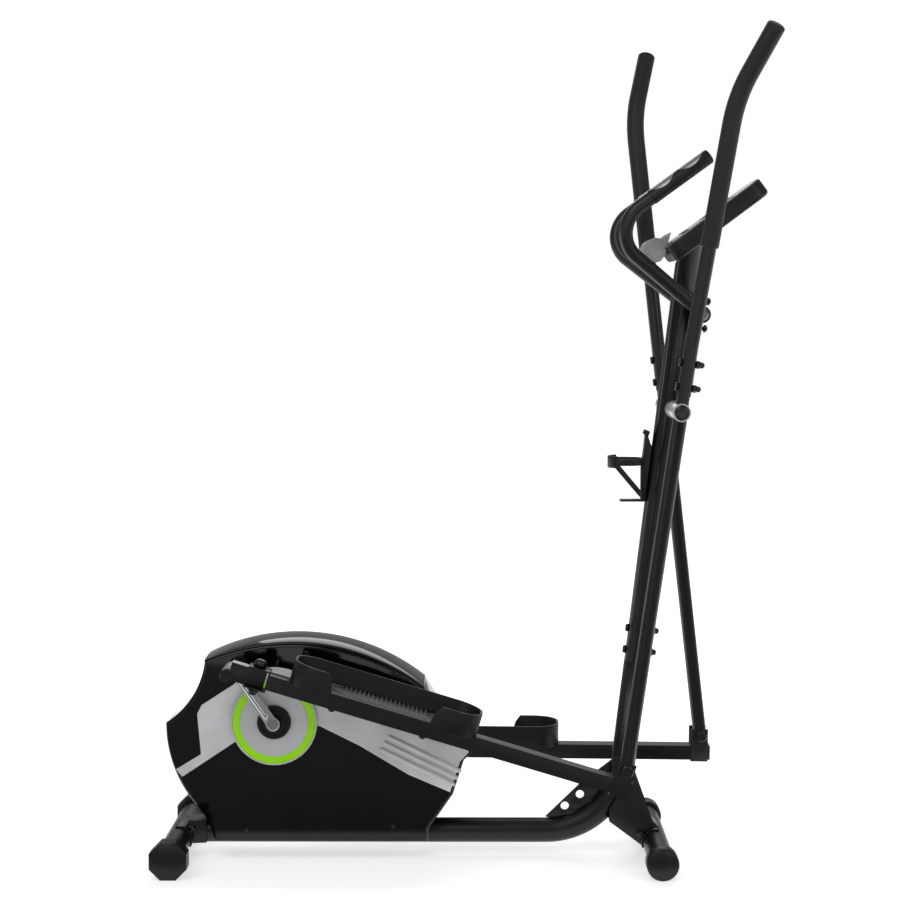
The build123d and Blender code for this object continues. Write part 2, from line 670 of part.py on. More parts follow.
def make_pedal_bar(side):
    """Rectangular tube with the lower pivot's lugs in front and the yoke bracket behind."""
    low = -BAR_BELOW_PIVOT - BAR_HEIGHT / 2
    high = low + BAR_HEIGHT
    middle = -BAR_BELOW_PIVOT
    wall = TUBE_WALL
    with BuildPart() as bar:
        bar_box(side, bar_back, BAR_FRONT, low, high, BAR_WIDTH)
        bar_box(side, bar_back + wall, BAR_FRONT - wall, low + wall, high - wall,
                BAR_WIDTH - 2 * wall, mode=Mode.SUBTRACT)
        bar_box(side, LUG_BACK, LUG_FRONT, low - LUG_THICKNESS, LUG_TOP,
                BAR_WIDTH + 2 * LUG_THICKNESS)
        bar_box(side, LUG_BACK - 1, LUG_FRONT + 1, high, LUG_TOP + 1, BAR_WIDTH,
                mode=Mode.SUBTRACT)
        bar_box(side, bar_back + wall, BAR_FRONT - wall, low + wall, high - wall,
                BAR_WIDTH - 2 * wall, mode=Mode.SUBTRACT)
        bar_box(side, bracket_back, bar_back + wall, middle - bracket_half,
                middle + bracket_half, BAR_WIDTH)
        bar_box(side, bracket_back - 1, bar_back - 1, middle - bracket_half + BRACKET_THICKNESS,
                middle + bracket_half - BRACKET_THICKNESS, BAR_WIDTH + 2, mode=Mode.SUBTRACT)
        rod(bar_point(side, yoke_bolt_u, middle - 40), bar_point(side, yoke_bolt_u, middle + 40),
            LOWER_BOLT_OD + 2 * BOLT_GAP, mode=Mode.SUBTRACT)
        cross_rod(lower_pivot(side), side * (ARM_Y - 40), side * (ARM_Y + 40),
                  LOWER_BOLT_OD + 2 * BOLT_GAP, mode=Mode.SUBTRACT)
        for screw in PLATE_SCREWS:
            rod(bar_point(side, screw, low - 2), bar_point(side, screw, high + 2),
                BOLT_OD + 2 * BOLT_GAP, mode=Mode.SUBTRACT)
    return bar.part


def make_pedal_hardware(side):
    """Lower pivot bolt with its caps, yoke bolt with ball cap and nut, and plate screws."""
    middle = -BAR_BELOW_PIVOT
    low = middle - BAR_HEIGHT / 2
    half = BAR_WIDTH / 2 + LUG_THICKNESS
    pivot = lower_pivot(side)
    with BuildPart() as hardware:
        cross_rod(pivot, side * (ARM_Y - half), side * (ARM_Y + half), LOWER_BOLT_OD)
        for direction in (-1, 1):
            base = Vector(pivot.X, side * ARM_Y + direction * half, pivot.Z)
            dome(base, (0, direction, 0), PIVOT_CAP_OD, 8)
        top = bar_point(side, yoke_bolt_u, middle + bracket_half)
        bottom = bar_point(side, yoke_bolt_u, middle - bracket_half)
        upward = (top - bottom).normalized()
        rod(bottom, top, LOWER_BOLT_OD)
        dome(top, upward, 26, 16)
        acorn_nut(bottom, upward * -1, 18, 14)
        for screw in PLATE_SCREWS:
            head = bar_point(side, screw, low)
            rod(head, bar_point(side, screw, PLATE_BOTTOM + 6), BOLT_OD)
            dome(head, upward * -1, 14, 8)
    return hardware.part


def make_foot_plate(side):
    """Foot tub: flat tread with a rim, lower on the outside between its two ends."""
    back = PLATE_FRONT - PLATE_LENGTH
    middle = (back + PLATE_FRONT) / 2
    slot_back, slot_front = back + 66, PLATE_FRONT - 76
    rim_top = PLATE_BOTTOM + PLATE_RIM
    with BuildPart() as plate:
        with BuildSketch(top_plane(side, PLATE_BOTTOM)):
            with Locations((middle, 0)):
                RectangleRounded(PLATE_LENGTH, PLATE_WIDTH, PLATE_CORNER)
        extrude(amount=PLATE_RIM)
        with BuildSketch(top_plane(side, PLATE_BOTTOM + PLATE_BASE)):
            with Locations((middle, 0)):
                RectangleRounded(PLATE_LENGTH - 2 * PLATE_WALL, PLATE_WIDTH - 2 * PLATE_WALL,
                                 PLATE_CORNER - PLATE_WALL)
        extrude(amount=PLATE_RIM, mode=Mode.SUBTRACT)
        # The outer wall dips to the tread between the toe and heel ends.
        with BuildSketch(bar_plane(side, PLATE_WIDTH / 2 - PLATE_WALL - 2)):
            with BuildLine():
                Polyline(
                    (slot_back, rim_top + 5),
                    (slot_back + 14, rim_top - 8),
                    (slot_back + 20, PLATE_BOTTOM + PLATE_BASE),
                    (slot_front - 20, PLATE_BOTTOM + PLATE_BASE),
                    (slot_front - 14, rim_top - 14),
                    (slot_front, rim_top + 5),
                    close=True,
                )
            make_face()
        extrude(amount=-side * (PLATE_WALL + 10), mode=Mode.SUBTRACT)
        for screw in PLATE_SCREWS:
            rod(bar_point(side, screw, PLATE_BOTTOM - 2), bar_point(side, screw, PLATE_BOTTOM + 6),
                BOLT_OD, mode=Mode.SUBTRACT)
    return plate.part


def make_yoke(side):
    """Joint tube on the crank pin, with the tongue that the yoke bolt holds."""
    pin = crank_pin(side)
    middle = -BAR_BELOW_PIVOT
    inner, outer = side * YOKE_INNER_Y, side * YOKE_OUTER_Y
    tongue_front = yoke_bolt_u + 17
    with BuildPart() as yoke:
        bar_box(side, -PEDAL_BAR_REACH + 4, tongue_front, middle - YOKE_HEIGHT / 2,
                middle + YOKE_HEIGHT / 2, BAR_WIDTH - 12)
        cross_rod(pin, inner, outer, YOKE_TUBE_OD)
        cross_rod(pin, inner - side, outer + side, PIN_OD, mode=Mode.SUBTRACT)
        rod(bar_point(side, yoke_bolt_u, middle - 40), bar_point(side, yoke_bolt_u, middle + 40),
            LOWER_BOLT_OD + 2 * RUN_GAP, mode=Mode.SUBTRACT)
        cross_rod(pin, inner, outer, PIN_OD)
        cap_base = Vector(pin.X, outer, pin.Z)
        dome(cap_base, (0, side, 0), YOKE_TUBE_OD - 2, 5)
    return yoke.part


for side in (RIGHT, LEFT):
    hand = SIDE_NAMES[side]
    finish(make_pedal_bar(side), f"pedal_bar_{hand}")
    finish(make_pedal_hardware(side), f"pedal_hardware_{hand}")
    finish(make_foot_plate(side), f"foot_plate_{hand}")
    finish(make_yoke(side), f"crank_yoke_{hand}")

# ---------------------------------------------------------------- crank
CRANK = Vector(CRANK_X, 0, CRANK_Z)
arm_outer_y = ARM_INNER_Y + ARM_THICKNESS


def make_crank_arm(side):
    """Flat crank arm with a boss on the axle, an eye for the pin and a grooved face."""
    pin = crank_pin(side)
    # Sketch x runs from the axle to the pin.
    face = Plane(origin=(CRANK_X, side * ARM_INNER_Y, CRANK_Z),
                 x_dir=tuple(crank_direction(side)), z_dir=(0, side, 0))
    with BuildPart() as arm:
        with BuildSketch(face):
            with BuildLine():
                Polyline((0, ARM_ROOT_HALF), (CRANK_RADIUS, ARM_TIP_HALF),
                         (CRANK_RADIUS, -ARM_TIP_HALF), (0, -ARM_ROOT_HALF), close=True)
            make_face()
            Circle(ARM_BOSS_R)
            with Locations((CRANK_RADIUS, 0)):
                Circle(ARM_EYE_R)
        extrude(amount=ARM_THICKNESS)
        fillet(arm.faces().sort_by(Axis.Y)[-1 if side > 0 else 0].edges(), 1.5)
        with BuildSketch(face.offset(ARM_THICKNESS - 2.5)):
            with Locations((CRANK_RADIUS / 2, 0)):
                SlotOverall(CRANK_RADIUS - 44, ARM_GROOVE)
        extrude(amount=5, mode=Mode.SUBTRACT)
        cross_rod(CRANK, side * (ARM_INNER_Y - 1), side * (arm_outer_y + 1), AXLE_OD,
                  mode=Mode.SUBTRACT)
        cross_rod(pin, side * (ARM_INNER_Y - 1), side * (arm_outer_y + 1), PIN_OD,
                  mode=Mode.SUBTRACT)
    return arm.part


with BuildPart() as crank_axle:
    cross_rod(CRANK, -arm_outer_y, arm_outer_y, AXLE_OD)
    chamfer(crank_axle.edges().filter_by(GeomType.CIRCLE), 1)
finish(crank_axle.part, "crank_axle")
for side in (RIGHT, LEFT):
    finish(make_crank_arm(side), f"crank_arm_{SIDE_NAMES[side]}")

with BuildPart() as drive_pulley:
    cross_rod(CRANK, PULLEY_Y - BELT_WIDTH / 2 - 1, PULLEY_Y + BELT_WIDTH / 2 + 1, 2 * PULLEY_R)
    for direction in (-1, 1):
        face_y = PULLEY_Y + direction * (BELT_WIDTH / 2 + 1)
        cross_rod(CRANK, face_y, face_y - direction * 4, 2 * PULLEY_R - 24, 2 * DISC_HUB_R - 10,
                  mode=Mode.SUBTRACT)
    with BuildSketch(across(Vector(CRANK_X, PULLEY_Y - BELT_WIDTH, CRANK_Z))):
        with PolarLocations(PULLEY_R * 0.62, 6):
            Circle(PULLEY_R * 0.2)
    extrude(amount=2 * BELT_WIDTH, mode=Mode.SUBTRACT)
    cross_rod(CRANK, PULLEY_Y - BELT_WIDTH, PULLEY_Y + BELT_WIDTH, AXLE_OD, mode=Mode.SUBTRACT)
finish(drive_pulley.part, "drive_pulley")

# ---------------------------------------------------------------- flywheel, belt and brake
FLYWHEEL = Vector(FLYWHEEL_X, 0, FLYWHEEL_Z)
fly_right = FLYWHEEL_Y - FLYWHEEL_WIDTH / 2
fly_left = FLYWHEEL_Y + FLYWHEEL_WIDTH / 2
hub_right = PULLEY_Y - BELT_WIDTH / 2 - 2
with BuildPart() as flywheel:
    cross_rod(FLYWHEEL, fly_right, fly_left, 2 * FLYWHEEL_R)
    for start, end in ((fly_right, fly_right + 8), (fly_left, fly_left - 8)):
        cross_rod(FLYWHEEL, start, end, 2 * FLYWHEEL_R - 50, 50, mode=Mode.SUBTRACT)
    cross_rod(FLYWHEEL, hub_right, fly_right, 2 * SMALL_PULLEY_R)
    cross_rod(FLYWHEEL, hub_right - 1, fly_left + 1, FLY_AXLE_OD + 2 * RUN_GAP,
              mode=Mode.SUBTRACT)
finish(flywheel.part, "flywheel")

with BuildPart() as flywheel_axle:
    cross_rod(FLYWHEEL, FORK_RIGHT_Y - FORK_PLATE - 8, FORK_LEFT_Y + FORK_PLATE + 8, FLY_AXLE_OD)
    for y, direction in ((FORK_RIGHT_Y - FORK_PLATE, -1), (FORK_LEFT_Y + FORK_PLATE, 1)):
        with BuildSketch(Plane(origin=(FLYWHEEL_X, y, FLYWHEEL_Z), z_dir=(0, direction, 0))):
            RegularPolygon(10, 6, major_radius=False)
        extrude(amount=7)
finish(flywheel_axle.part, "flywheel_axle")


def belt_loop(gap):
    """Outline around both pulleys at a distance from their rims."""
    with BuildSketch(side_plane(PULLEY_Y)) as outline:
        with Locations((CRANK_X, CRANK_Z)):
            Circle(PULLEY_R + gap)
        with Locations((FLYWHEEL_X, FLYWHEEL_Z)):
            Circle(SMALL_PULLEY_R + gap)
        make_hull()
    return outline.sketch


with BuildPart() as drive_belt:
    extrude(belt_loop(BELT_GAP + BELT_THICKNESS), amount=BELT_WIDTH / 2, both=True)
    extrude(belt_loop(BELT_GAP), amount=BELT_WIDTH, both=True, mode=Mode.SUBTRACT)
finish(drive_belt.part, "drive_belt")

# The idler presses the lower run of the belt from outside.
run_angle = math.atan2(FLYWHEEL_Z - CRANK_Z, FLYWHEEL_X - CRANK_X)
centre_distance = math.hypot(FLYWHEEL_X - CRANK_X, FLYWHEEL_Z - CRANK_Z)
wedge_angle = math.asin((PULLEY_R - SMALL_PULLEY_R) / centre_distance)
run_normal = run_angle - math.pi / 2 + wedge_angle
idler_reach = SMALL_PULLEY_R + 2 * BELT_GAP + BELT_THICKNESS + IDLER_R
idler_back = 60.0
IDLER = Vector(
    FLYWHEEL_X + idler_reach * math.cos(run_normal) - idler_back * math.cos(run_angle + wedge_angle),
    0,
    FLYWHEEL_Z + idler_reach * math.sin(run_normal) - idler_back * math.sin(run_angle + wedge_angle),
)
with BuildPart() as idler_wheel:
    cross_rod(IDLER, PULLEY_Y - BELT_WIDTH / 2, PULLEY_Y + BELT_WIDTH / 2, 2 * IDLER_R,
              BOLT_OD + 2 * RUN_GAP)
finish(idler_wheel.part, "idler_wheel")

magnet_inner = FLYWHEEL_R + MAGNET_GAP
magnet_hinge = Vector(FLYWHEEL_X + 125 * math.cos(math.radians(-48)), 0,
                      FLYWHEEL_Z + 125 * math.sin(math.radians(-48)))
with BuildPart() as magnet_bracket:
    with BuildSketch(side_plane(FLYWHEEL_Y)):
        with BuildLine():
            inner_arc = CenterArc((FLYWHEEL_X, FLYWHEEL_Z), magnet_inner, -47, 97)
            outer_arc = CenterArc((FLYWHEEL_X, FLYWHEEL_Z), magnet_inner + 10, -47, 97)
            Line(inner_arc @ 0, outer_arc @ 0)
            Line(inner_arc @ 1, outer_arc @ 1)
        make_face()
        with Locations((magnet_hinge.X, magnet_hinge.Z)):
            Circle(8)
        with Locations((FLYWHEEL_X, FLYWHEEL_Z)):
            Circle(magnet_inner, mode=Mode.SUBTRACT)
    extrude(amount=FLYWHEEL_WIDTH / 2 + 3, both=True)
    cross_rod(magnet_hinge, fly_right - 5, fly_left + 5, BOLT_OD + 2 * RUN_GAP,
              mode=Mode.SUBTRACT)
finish(magnet_bracket.part, "magnet_bracket")

fork_base_z = MAIN_TUBE_Z + MAIN_R
with BuildPart() as drive_frame:
    with BuildSketch(Plane.XY.offset(fork_base_z)):
        with Locations(((CRANK_X - 20 + FLYWHEEL_X + 60) / 2, (FORK_RIGHT_Y + FORK_LEFT_Y) / 2)):
            Rectangle(FLYWHEEL_X + 60 - CRANK_X + 20, FORK_LEFT_Y - FORK_RIGHT_Y + 2 * FORK_PLATE)
    extrude(amount=FORK_PLATE)
    for y, direction in ((FORK_RIGHT_Y, 1), (FORK_LEFT_Y, -1)):
        with BuildSketch(side_plane(y)):
            with BuildLine():
                Polyline(
                    (IDLER.X - 26, fork_base_z),
                    (FLYWHEEL_X + 60, fork_base_z),
                    (magnet_hinge.X + 14, magnet_hinge.Z - 6),
                    (magnet_hinge.X + 10, magnet_hinge.Z + 12),
                    (FLYWHEEL_X + 22, FLYWHEEL_Z + 12),
                    (FLYWHEEL_X, FLYWHEEL_Z + 22),
                    (FLYWHEEL_X - 22, FLYWHEEL_Z + 8),
                    (IDLER.X - 22, IDLER.Z + 16),
                    close=True,
                )
            make_face()
        extrude(amount=direction * FORK_PLATE)
    cross_rod(FLYWHEEL, FORK_RIGHT_Y - FORK_PLATE - 1, FORK_LEFT_Y + FORK_PLATE + 1, FLY_AXLE_OD,
              mode=Mode.SUBTRACT)
    cross_rod(IDLER, FORK_RIGHT_Y, PULLEY_Y + BELT_WIDTH / 2 + 2, BOLT_OD)
    cross_rod(magnet_hinge, FORK_RIGHT_Y, FORK_LEFT_Y, BOLT_OD)
    with BuildSketch(Plane.XY.offset(fork_base_z)):
        with Locations((CRANK_X, (SHELL_LEFT_Y + SHELL_RIGHT_Y) / 2)):
            Rectangle(30, 40)
    extrude(amount=CRANK_Z - fork_base_z)
    cross_rod(CRANK, SHELL_RIGHT_Y, SHELL_LEFT_Y, SHELL_OD)
    cross_rod(CRANK, SHELL_RIGHT_Y - 1, SHELL_LEFT_Y + 1, SHELL_OD - 8, mode=Mode.SUBTRACT)
finish(drive_frame.part, "drive_frame")

with BuildPart() as crank_bearings:
    for start, end in ((SHELL_RIGHT_Y, SHELL_RIGHT_Y + BEARING_WIDTH),
                       (SHELL_LEFT_Y - BEARING_WIDTH, SHELL_LEFT_Y)):
        cross_rod(CRANK, start, end, SHELL_OD - 8, AXLE_OD + 2 * RUN_GAP)
finish(crank_bearings.part, "crank_bearings")

with BuildPart() as resistance_motor:
    with BuildSketch(Plane.XY.offset(fork_base_z + FORK_PLATE)):
        with Locations((CRANK_X + 90, 12)):
            RectangleRounded(58, 40, 5)
    extrude(amount=34)
    rod((CRANK_X + 78, 12, fork_base_z + FORK_PLATE + 34), (CRANK_X + 78, 12, fork_base_z + 50), 18)
finish(resistance_motor.part, "resistance_motor")

# ---------------------------------------------------------------- shroud


def below_seam(inset=0.0):
    """Side outline of the shroud's body, moved inwards by a wall."""
    with BuildSketch(side_plane()) as outline:
        with BuildLine():
            ThreePointArc(SEAM_REAR, (-541, 333), (-593, 282))
            ThreePointArc((-593, 282), (-579, 195), (-534, 115))
            ThreePointArc((-534, 115), (-512, 84), (-497, SHROUD_BOTTOM_Z))
            Polyline((-497, SHROUD_BOTTOM_Z), (-66, SHROUD_BOTTOM_Z), (-62, 68), (-14, 137),
                     (8, 206), (28, 226), (-62, 339), SEAM_FRONT)
            ThreePointArc(SEAM_FRONT, SEAM_TOP, SEAM_REAR)
        make_face()
        if inset:
            offset(amount=-inset, mode=Mode.REPLACE)
    return outline.sketch


def shroud_openings():
    """Holes for the long tube, the crank axle and what stands on the tube."""
    with BuildSketch(Plane.YZ.offset(-650)) as bore:
        with Locations((0, MAIN_TUBE_Z)):
            Circle(MAIN_R + 0.5)
        with Locations((0, MAIN_TUBE_Z - MAIN_R)):
            Rectangle(2 * MAIN_R + 1, 2 * MAIN_R)
    extrude(bore.sketch, amount=700, mode=Mode.SUBTRACT)
    cross_rod(CRANK, -SHROUD_HALF - 1, SHROUD_HALF + 1, 2 * (AXLE_OD - 2), mode=Mode.SUBTRACT)


def make_shell(side):
    """One half of the shroud, open towards the machine's middle."""
    amount = -side * SHROUD_HALF
    with BuildPart() as shell:
        extrude(below_seam(), amount=amount)
        outer_face = shell.faces().sort_by(Axis.Y)[-1 if side > 0 else 0]
        fillet(outer_face.edges(), SHROUD_FILLET)
        extrude(below_seam(SHROUD_WALL), amount=-side * (SHROUD_HALF - SHROUD_WALL),
                mode=Mode.SUBTRACT)
        shroud_openings()
    return shell.part


for side in (RIGHT, LEFT):
    finish(make_shell(side), f"shroud_{SIDE_NAMES[side]}")

with BuildPart() as shroud_top_cover:
    with BuildSketch(side_plane()):
        with BuildLine():
            ThreePointArc(SEAM_REAR, SEAM_TOP, SEAM_FRONT)
            Line(SEAM_FRONT, (-72, 363))
            ThreePointArc((-72, 363), (-197, 434), (-321, 457))
            ThreePointArc((-321, 457), (-422, 446), (-514, 415))
            Line((-514, 415), SEAM_REAR)
        make_face()
    extrude(amount=SHROUD_HALF, both=True)
    cover_top = [edge for edge in shroud_top_cover.edges()
                 if abs(abs(edge.center().Y) - SHROUD_HALF) < 1 and edge.length > 100
                 and edge.length < 300]
    fillet(cover_top, COVER_FILLET)
finish(shroud_top_cover.part, "shroud_top_cover")

disc_outer = SHROUD_HALF + DISC_DEPTH
ring_depth = 3.0
trim_solids, disc_solids, ring_solids, hub_solids, screw_solids = [], [], [], [], []
for side in (RIGHT, LEFT):
    face_plane = side_plane(side * SHROUD_HALF)
    outward = -side
    with BuildPart() as trim:
        with BuildSketch(face_plane):
            with BuildLine():
                Polyline((-283, 277), (-452, 245), (-560, 173), (-573, 188), (-522, 219),
                         (-529, 301), (-520, 319), (-455, 361))
                ThreePointArc((-455, 361), (-374, 396), (-303, 370))
                Polyline((-303, 370), (10, 236), (18, 224), (0, 204), (-20, 142), (-104, 178),
                         (-201, 236), (-283, 277))
            make_face()
            with Locations((CRANK_X, CRANK_Z)):
                Circle(DISC_R + 0.3, mode=Mode.SUBTRACT)
        extrude(amount=outward * TRIM_THICKNESS)
        # Three raised ribs run down towards the front edge.
        with BuildSketch(side_plane(side * (SHROUD_HALF + TRIM_THICKNESS))):
            for start, end in (((-146, 257), (2, 184)), ((-154, 244), (-4, 170)),
                               ((-162, 231), (-10, 157))):
                with BuildLine() as rib_line:
                    Line(start, end)
                trace(lines=rib_line.line, line_width=6)
        extrude(amount=outward * 2)
    trim_solids += trim.part.solids()
    with BuildPart() as disc:
        cross_rod(CRANK, side * SHROUD_HALF, side * disc_outer, 2 * DISC_R, 2 * DISC_HUB_R)
        cross_rod(CRANK, side * (disc_outer - ring_depth), side * (disc_outer + 1),
                  2 * DISC_RING_OUT, 2 * DISC_RING_IN, mode=Mode.SUBTRACT)
    disc_solids += disc.part.solids()
    with BuildPart() as ring:
        cross_rod(CRANK, side * (disc_outer - ring_depth), side * (disc_outer - 0.5),
                  2 * DISC_RING_OUT - 0.4, 2 * DISC_RING_IN + 0.4)
    ring_solids += ring.part.solids()
    with BuildPart() as hub:
        cross_rod(CRANK, side * SHROUD_HALF, side * (disc_outer + 4), 2 * DISC_HUB_R - 0.4,
                  AXLE_OD + 1)
    hub_solids += hub.part.solids()
    for x, z in ((-135, 72), (-431, 64), (-308, 425)):
        with BuildPart() as screw:
            dome(Vector(x, side * SHROUD_HALF, z), (0, side, 0), 9, 2.5)
        screw_solids += screw.part.solids()
finish(Compound(children=trim_solids), "side_trims")
finish(Compound(children=disc_solids), "disc_covers")
finish(Compound(children=ring_solids), "accent_rings")
finish(Compound(children=hub_solids), "hub_caps")
finish(Compound(children=screw_solids), "shroud_screws")

# ---------------------------------------------------------------- console
screen_u = CONSOLE_LENGTH * 0.60
key_u = CONSOLE_LENGTH * 0.24
key_vs = {"down_key": 42.0, "mode_key": 0.0, "up_key": -42.0}
face_under = console_face.offset(-BEZEL)


def console_outline(plane, inset=0.0):
    """Console face: rounded at its lower end, a little wider at its upper end."""
    half = CONSOLE_WIDTH / 2 - inset
    with BuildSketch(plane) as outline:
        with BuildLine():
            Polyline((inset, -half * 0.78), (inset, half * 0.78))
            ThreePointArc((inset, half * 0.78), (12 + inset, half * 0.93), (40, half))
            Line((40, half), (CONSOLE_LENGTH - 30, half))
            ThreePointArc((CONSOLE_LENGTH - 30, half), (CONSOLE_LENGTH - 8 - inset, half * 0.9),
                          (CONSOLE_LENGTH - inset, half * 0.6))
            ThreePointArc((CONSOLE_LENGTH - inset, half * 0.6), (CONSOLE_LENGTH + 6 - inset, 0),
                          (CONSOLE_LENGTH - inset, -half * 0.6))
            ThreePointArc((CONSOLE_LENGTH - inset, -half * 0.6),
                          (CONSOLE_LENGTH - 8 - inset, -half * 0.9), (CONSOLE_LENGTH - 30, -half))
            Line((CONSOLE_LENGTH - 30, -half), (40, -half))
            ThreePointArc((40, -half), (12 + inset, -half * 0.93), (inset, -half * 0.78))
        make_face()
    return outline.sketch


with BuildPart() as console_housing:
    extrude(console_outline(face_under), amount=-(CONSOLE_THICKNESS - BEZEL))
    back_face = console_housing.faces().sort_by(
        lambda f: f.center().dot(console_face.z_dir))[0]
    fillet(back_face.edges(), 8)
    extrude(console_outline(face_under, CONSOLE_WALL + 5),
            amount=-(CONSOLE_THICKNESS - BEZEL - CONSOLE_WALL), mode=Mode.SUBTRACT)
finish(console_housing.part, "console_housing")

with BuildPart() as console_bezel:
    extrude(console_outline(face_under, 1.5), amount=BEZEL)
    with BuildSketch(face_under):
        with Locations((screen_u, 0)):
            RectangleRounded(*SCREEN, 4)
        with Locations(*[(key_u, v) for v in key_vs.values()]):
            RectangleRounded(KEY_SIZE[1] + 2 * KEY_GAP, KEY_SIZE[0] + 2 * KEY_GAP, 3 + KEY_GAP)
    extrude(amount=BEZEL, mode=Mode.SUBTRACT)
finish(console_bezel.part, "console_bezel")

with BuildPart() as console_screen:
    with BuildSketch(console_face.offset(-1 - BEZEL)):
        with Locations((screen_u, 0)):
            RectangleRounded(SCREEN[0] - 0.4, SCREEN[1] - 0.4, 4)
    extrude(amount=BEZEL)
finish(console_screen.part, "console_screen")

for name, v in key_vs.items():
    with BuildPart() as key:
        with BuildSketch(console_face.offset(-KEY_TRAVEL - BEZEL - 1.5)):
            with Locations((key_u, v)):
                RectangleRounded(KEY_SIZE[1], KEY_SIZE[0], 3)
        extrude(amount=BEZEL + 2 * KEY_TRAVEL + 2)
    finish(key.part, name)

with BuildPart() as tablet_holder:
    with BuildSketch(side_plane()):
        with BuildLine() as holder_line:
            hook = Polyline((CONSOLE_X + 12, CONSOLE_Z + 29), (CONSOLE_X - 6, CONSOLE_Z + 15))
            ThreePointArc(hook @ 1, (CONSOLE_X - 38, CONSOLE_Z + 3),
                          (CONSOLE_X - 9, CONSOLE_Z - 26))
            Line((CONSOLE_X - 9, CONSOLE_Z - 26), (CONSOLE_X + 2, CONSOLE_Z - 12))
        trace(lines=holder_line.line, line_width=3)
    extrude(amount=TABLET_WIDTH / 2, both=True)
    for side in (RIGHT, LEFT):
        with BuildSketch(side_plane(side * TABLET_WIDTH / 2)) as cheek:
            with BuildLine():
                back = ThreePointArc(hook @ 1, (CONSOLE_X - 38, CONSOLE_Z + 3),
                                     (CONSOLE_X - 9, CONSOLE_Z - 26))
                Polyline(back @ 1, (CONSOLE_X + 2, CONSOLE_Z - 12), (CONSOLE_X + 12, CONSOLE_Z + 29),
                         back @ 0)
            make_face()
        extrude(cheek.sketch, amount=side * 2.5)
    extrude(console_outline(console_face, -0.3), amount=-CONSOLE_THICKNESS - 4,
            mode=Mode.SUBTRACT)
finish(tablet_holder.part, "tablet_holder")

# ---------------------------------------------------------------- fixed hand bar


def mirrored(point, side):
    """A point given for the left side, on the chosen side."""
    return (point[0], side * point[1], point[2])


with BuildLine() as pulse_path:
    FilletPolyline(
        mirrored(PULSE_TIP, RIGHT), mirrored(PULSE_CORNER, RIGHT),
        (pulse_centre.X, -PULSE_SHOULDER_Y, pulse_centre.Z),
        (pulse_centre.X, PULSE_SHOULDER_Y, pulse_centre.Z),
        mirrored(PULSE_CORNER, LEFT), mirrored(PULSE_TIP, LEFT),
        radius=PULSE_RADII,
    )
finish(sweep_tube(pulse_path.line, PULSE_OD, PULSE_OD - 2 * PULSE_WALL), "pulse_bar")

sensor_solids = []
for side in (RIGHT, LEFT):
    tip = Vector(mirrored(PULSE_TIP, side))
    inward = (Vector(mirrored(PULSE_CORNER, side)) - tip).normalized()
    with BuildPart() as sensor:
        rod(tip - inward * 3, tip + inward * 138, SENSOR_OD)
        rod(tip, tip + inward * 140, PULSE_OD, mode=Mode.SUBTRACT)
    sensor_solids += sensor.part.solids()
finish(Compound(children=sensor_solids), "hand_sensors")

clamp_height = 2 * (clamp_bolt_offset.length + 9)
with BuildPart() as bar_clamp:
    cross_rod(pulse_centre, -CLAMP_HALF, CLAMP_HALF, PULSE_OD + 2 * CLAMP_WALL)
    with BuildSketch(Plane(origin=pulse_centre - POST_FORWARD * 5, x_dir=(0, 1, 0),
                           z_dir=POST_FORWARD)):
        RectangleRounded(2 * CLAMP_HALF, clamp_height, 6)
    extrude(amount=CLAMP_WALL)
    cross_rod(pulse_centre, -CLAMP_HALF - 1, CLAMP_HALF + 1, PULSE_OD + 0.1,
              mode=Mode.SUBTRACT)
    with BuildSketch(Plane(origin=pulse_centre - POST_FORWARD * 5, x_dir=(0, 1, 0),
                           z_dir=POST_FORWARD)):
        Rectangle(4 * CLAMP_HALF, 4 * CLAMP_HALF)
    extrude(amount=-60, mode=Mode.SUBTRACT)
    for direction in (-1, 1):
        hole = pulse_centre + clamp_bolt_offset * direction
        rod(hole - POST_FORWARD * 20, hole + POST_FORWARD * 20, BOLT_OD + 2 * BOLT_GAP,
            mode=Mode.SUBTRACT)
finish(bar_clamp.part, "bar_clamp")

# ---------------------------------------------------------------- bolts of the fixed frame
bolt_solids = []
for foot in FOOT_BOLT_ANGLES:
    for y in (-FOOT_BOLT_Y, FOOT_BOLT_Y):
        nut, head = foot_bolt_line(foot, y)
        outward = (nut - head).normalized()
        with BuildPart() as bolt:
            rod(head, nut, BOLT_OD)
            dome(head, outward * -1, 17, 4)
            acorn_nut(nut, outward, 13, 13)
        bolt_solids += bolt.part.solids()
for height in post_bolt_heights:
    with BuildPart() as bolt:
        rod(post_point(height, -MAIN_R), post_point(height, MAIN_R), BOLT_OD)
        dome(post_point(height, -MAIN_R), POST_FORWARD * -1, 16, 6)
        acorn_nut(post_point(height, MAIN_R), POST_FORWARD, 13, 13)
    bolt_solids += bolt.part.solids()
for direction in (-1, 1):
    face = pulse_centre - POST_FORWARD + clamp_bolt_offset * direction
    with BuildPart() as bolt:
        rod(face - POST_FORWARD * (MAIN_R / 2 + 6), face + POST_FORWARD * CLAMP_BOLT_TAIL,
            BOLT_OD)
        for start in (0, CLAMP_BOLT_TAIL - 8):
            with BuildSketch(Plane(origin=face + POST_FORWARD * start, z_dir=POST_FORWARD)):
                RegularPolygon(6.5, 6, major_radius=False)
            extrude(amount=6)
    bolt_solids += bolt.part.solids()
finish(Compound(children=bolt_solids), "frame_bolts")

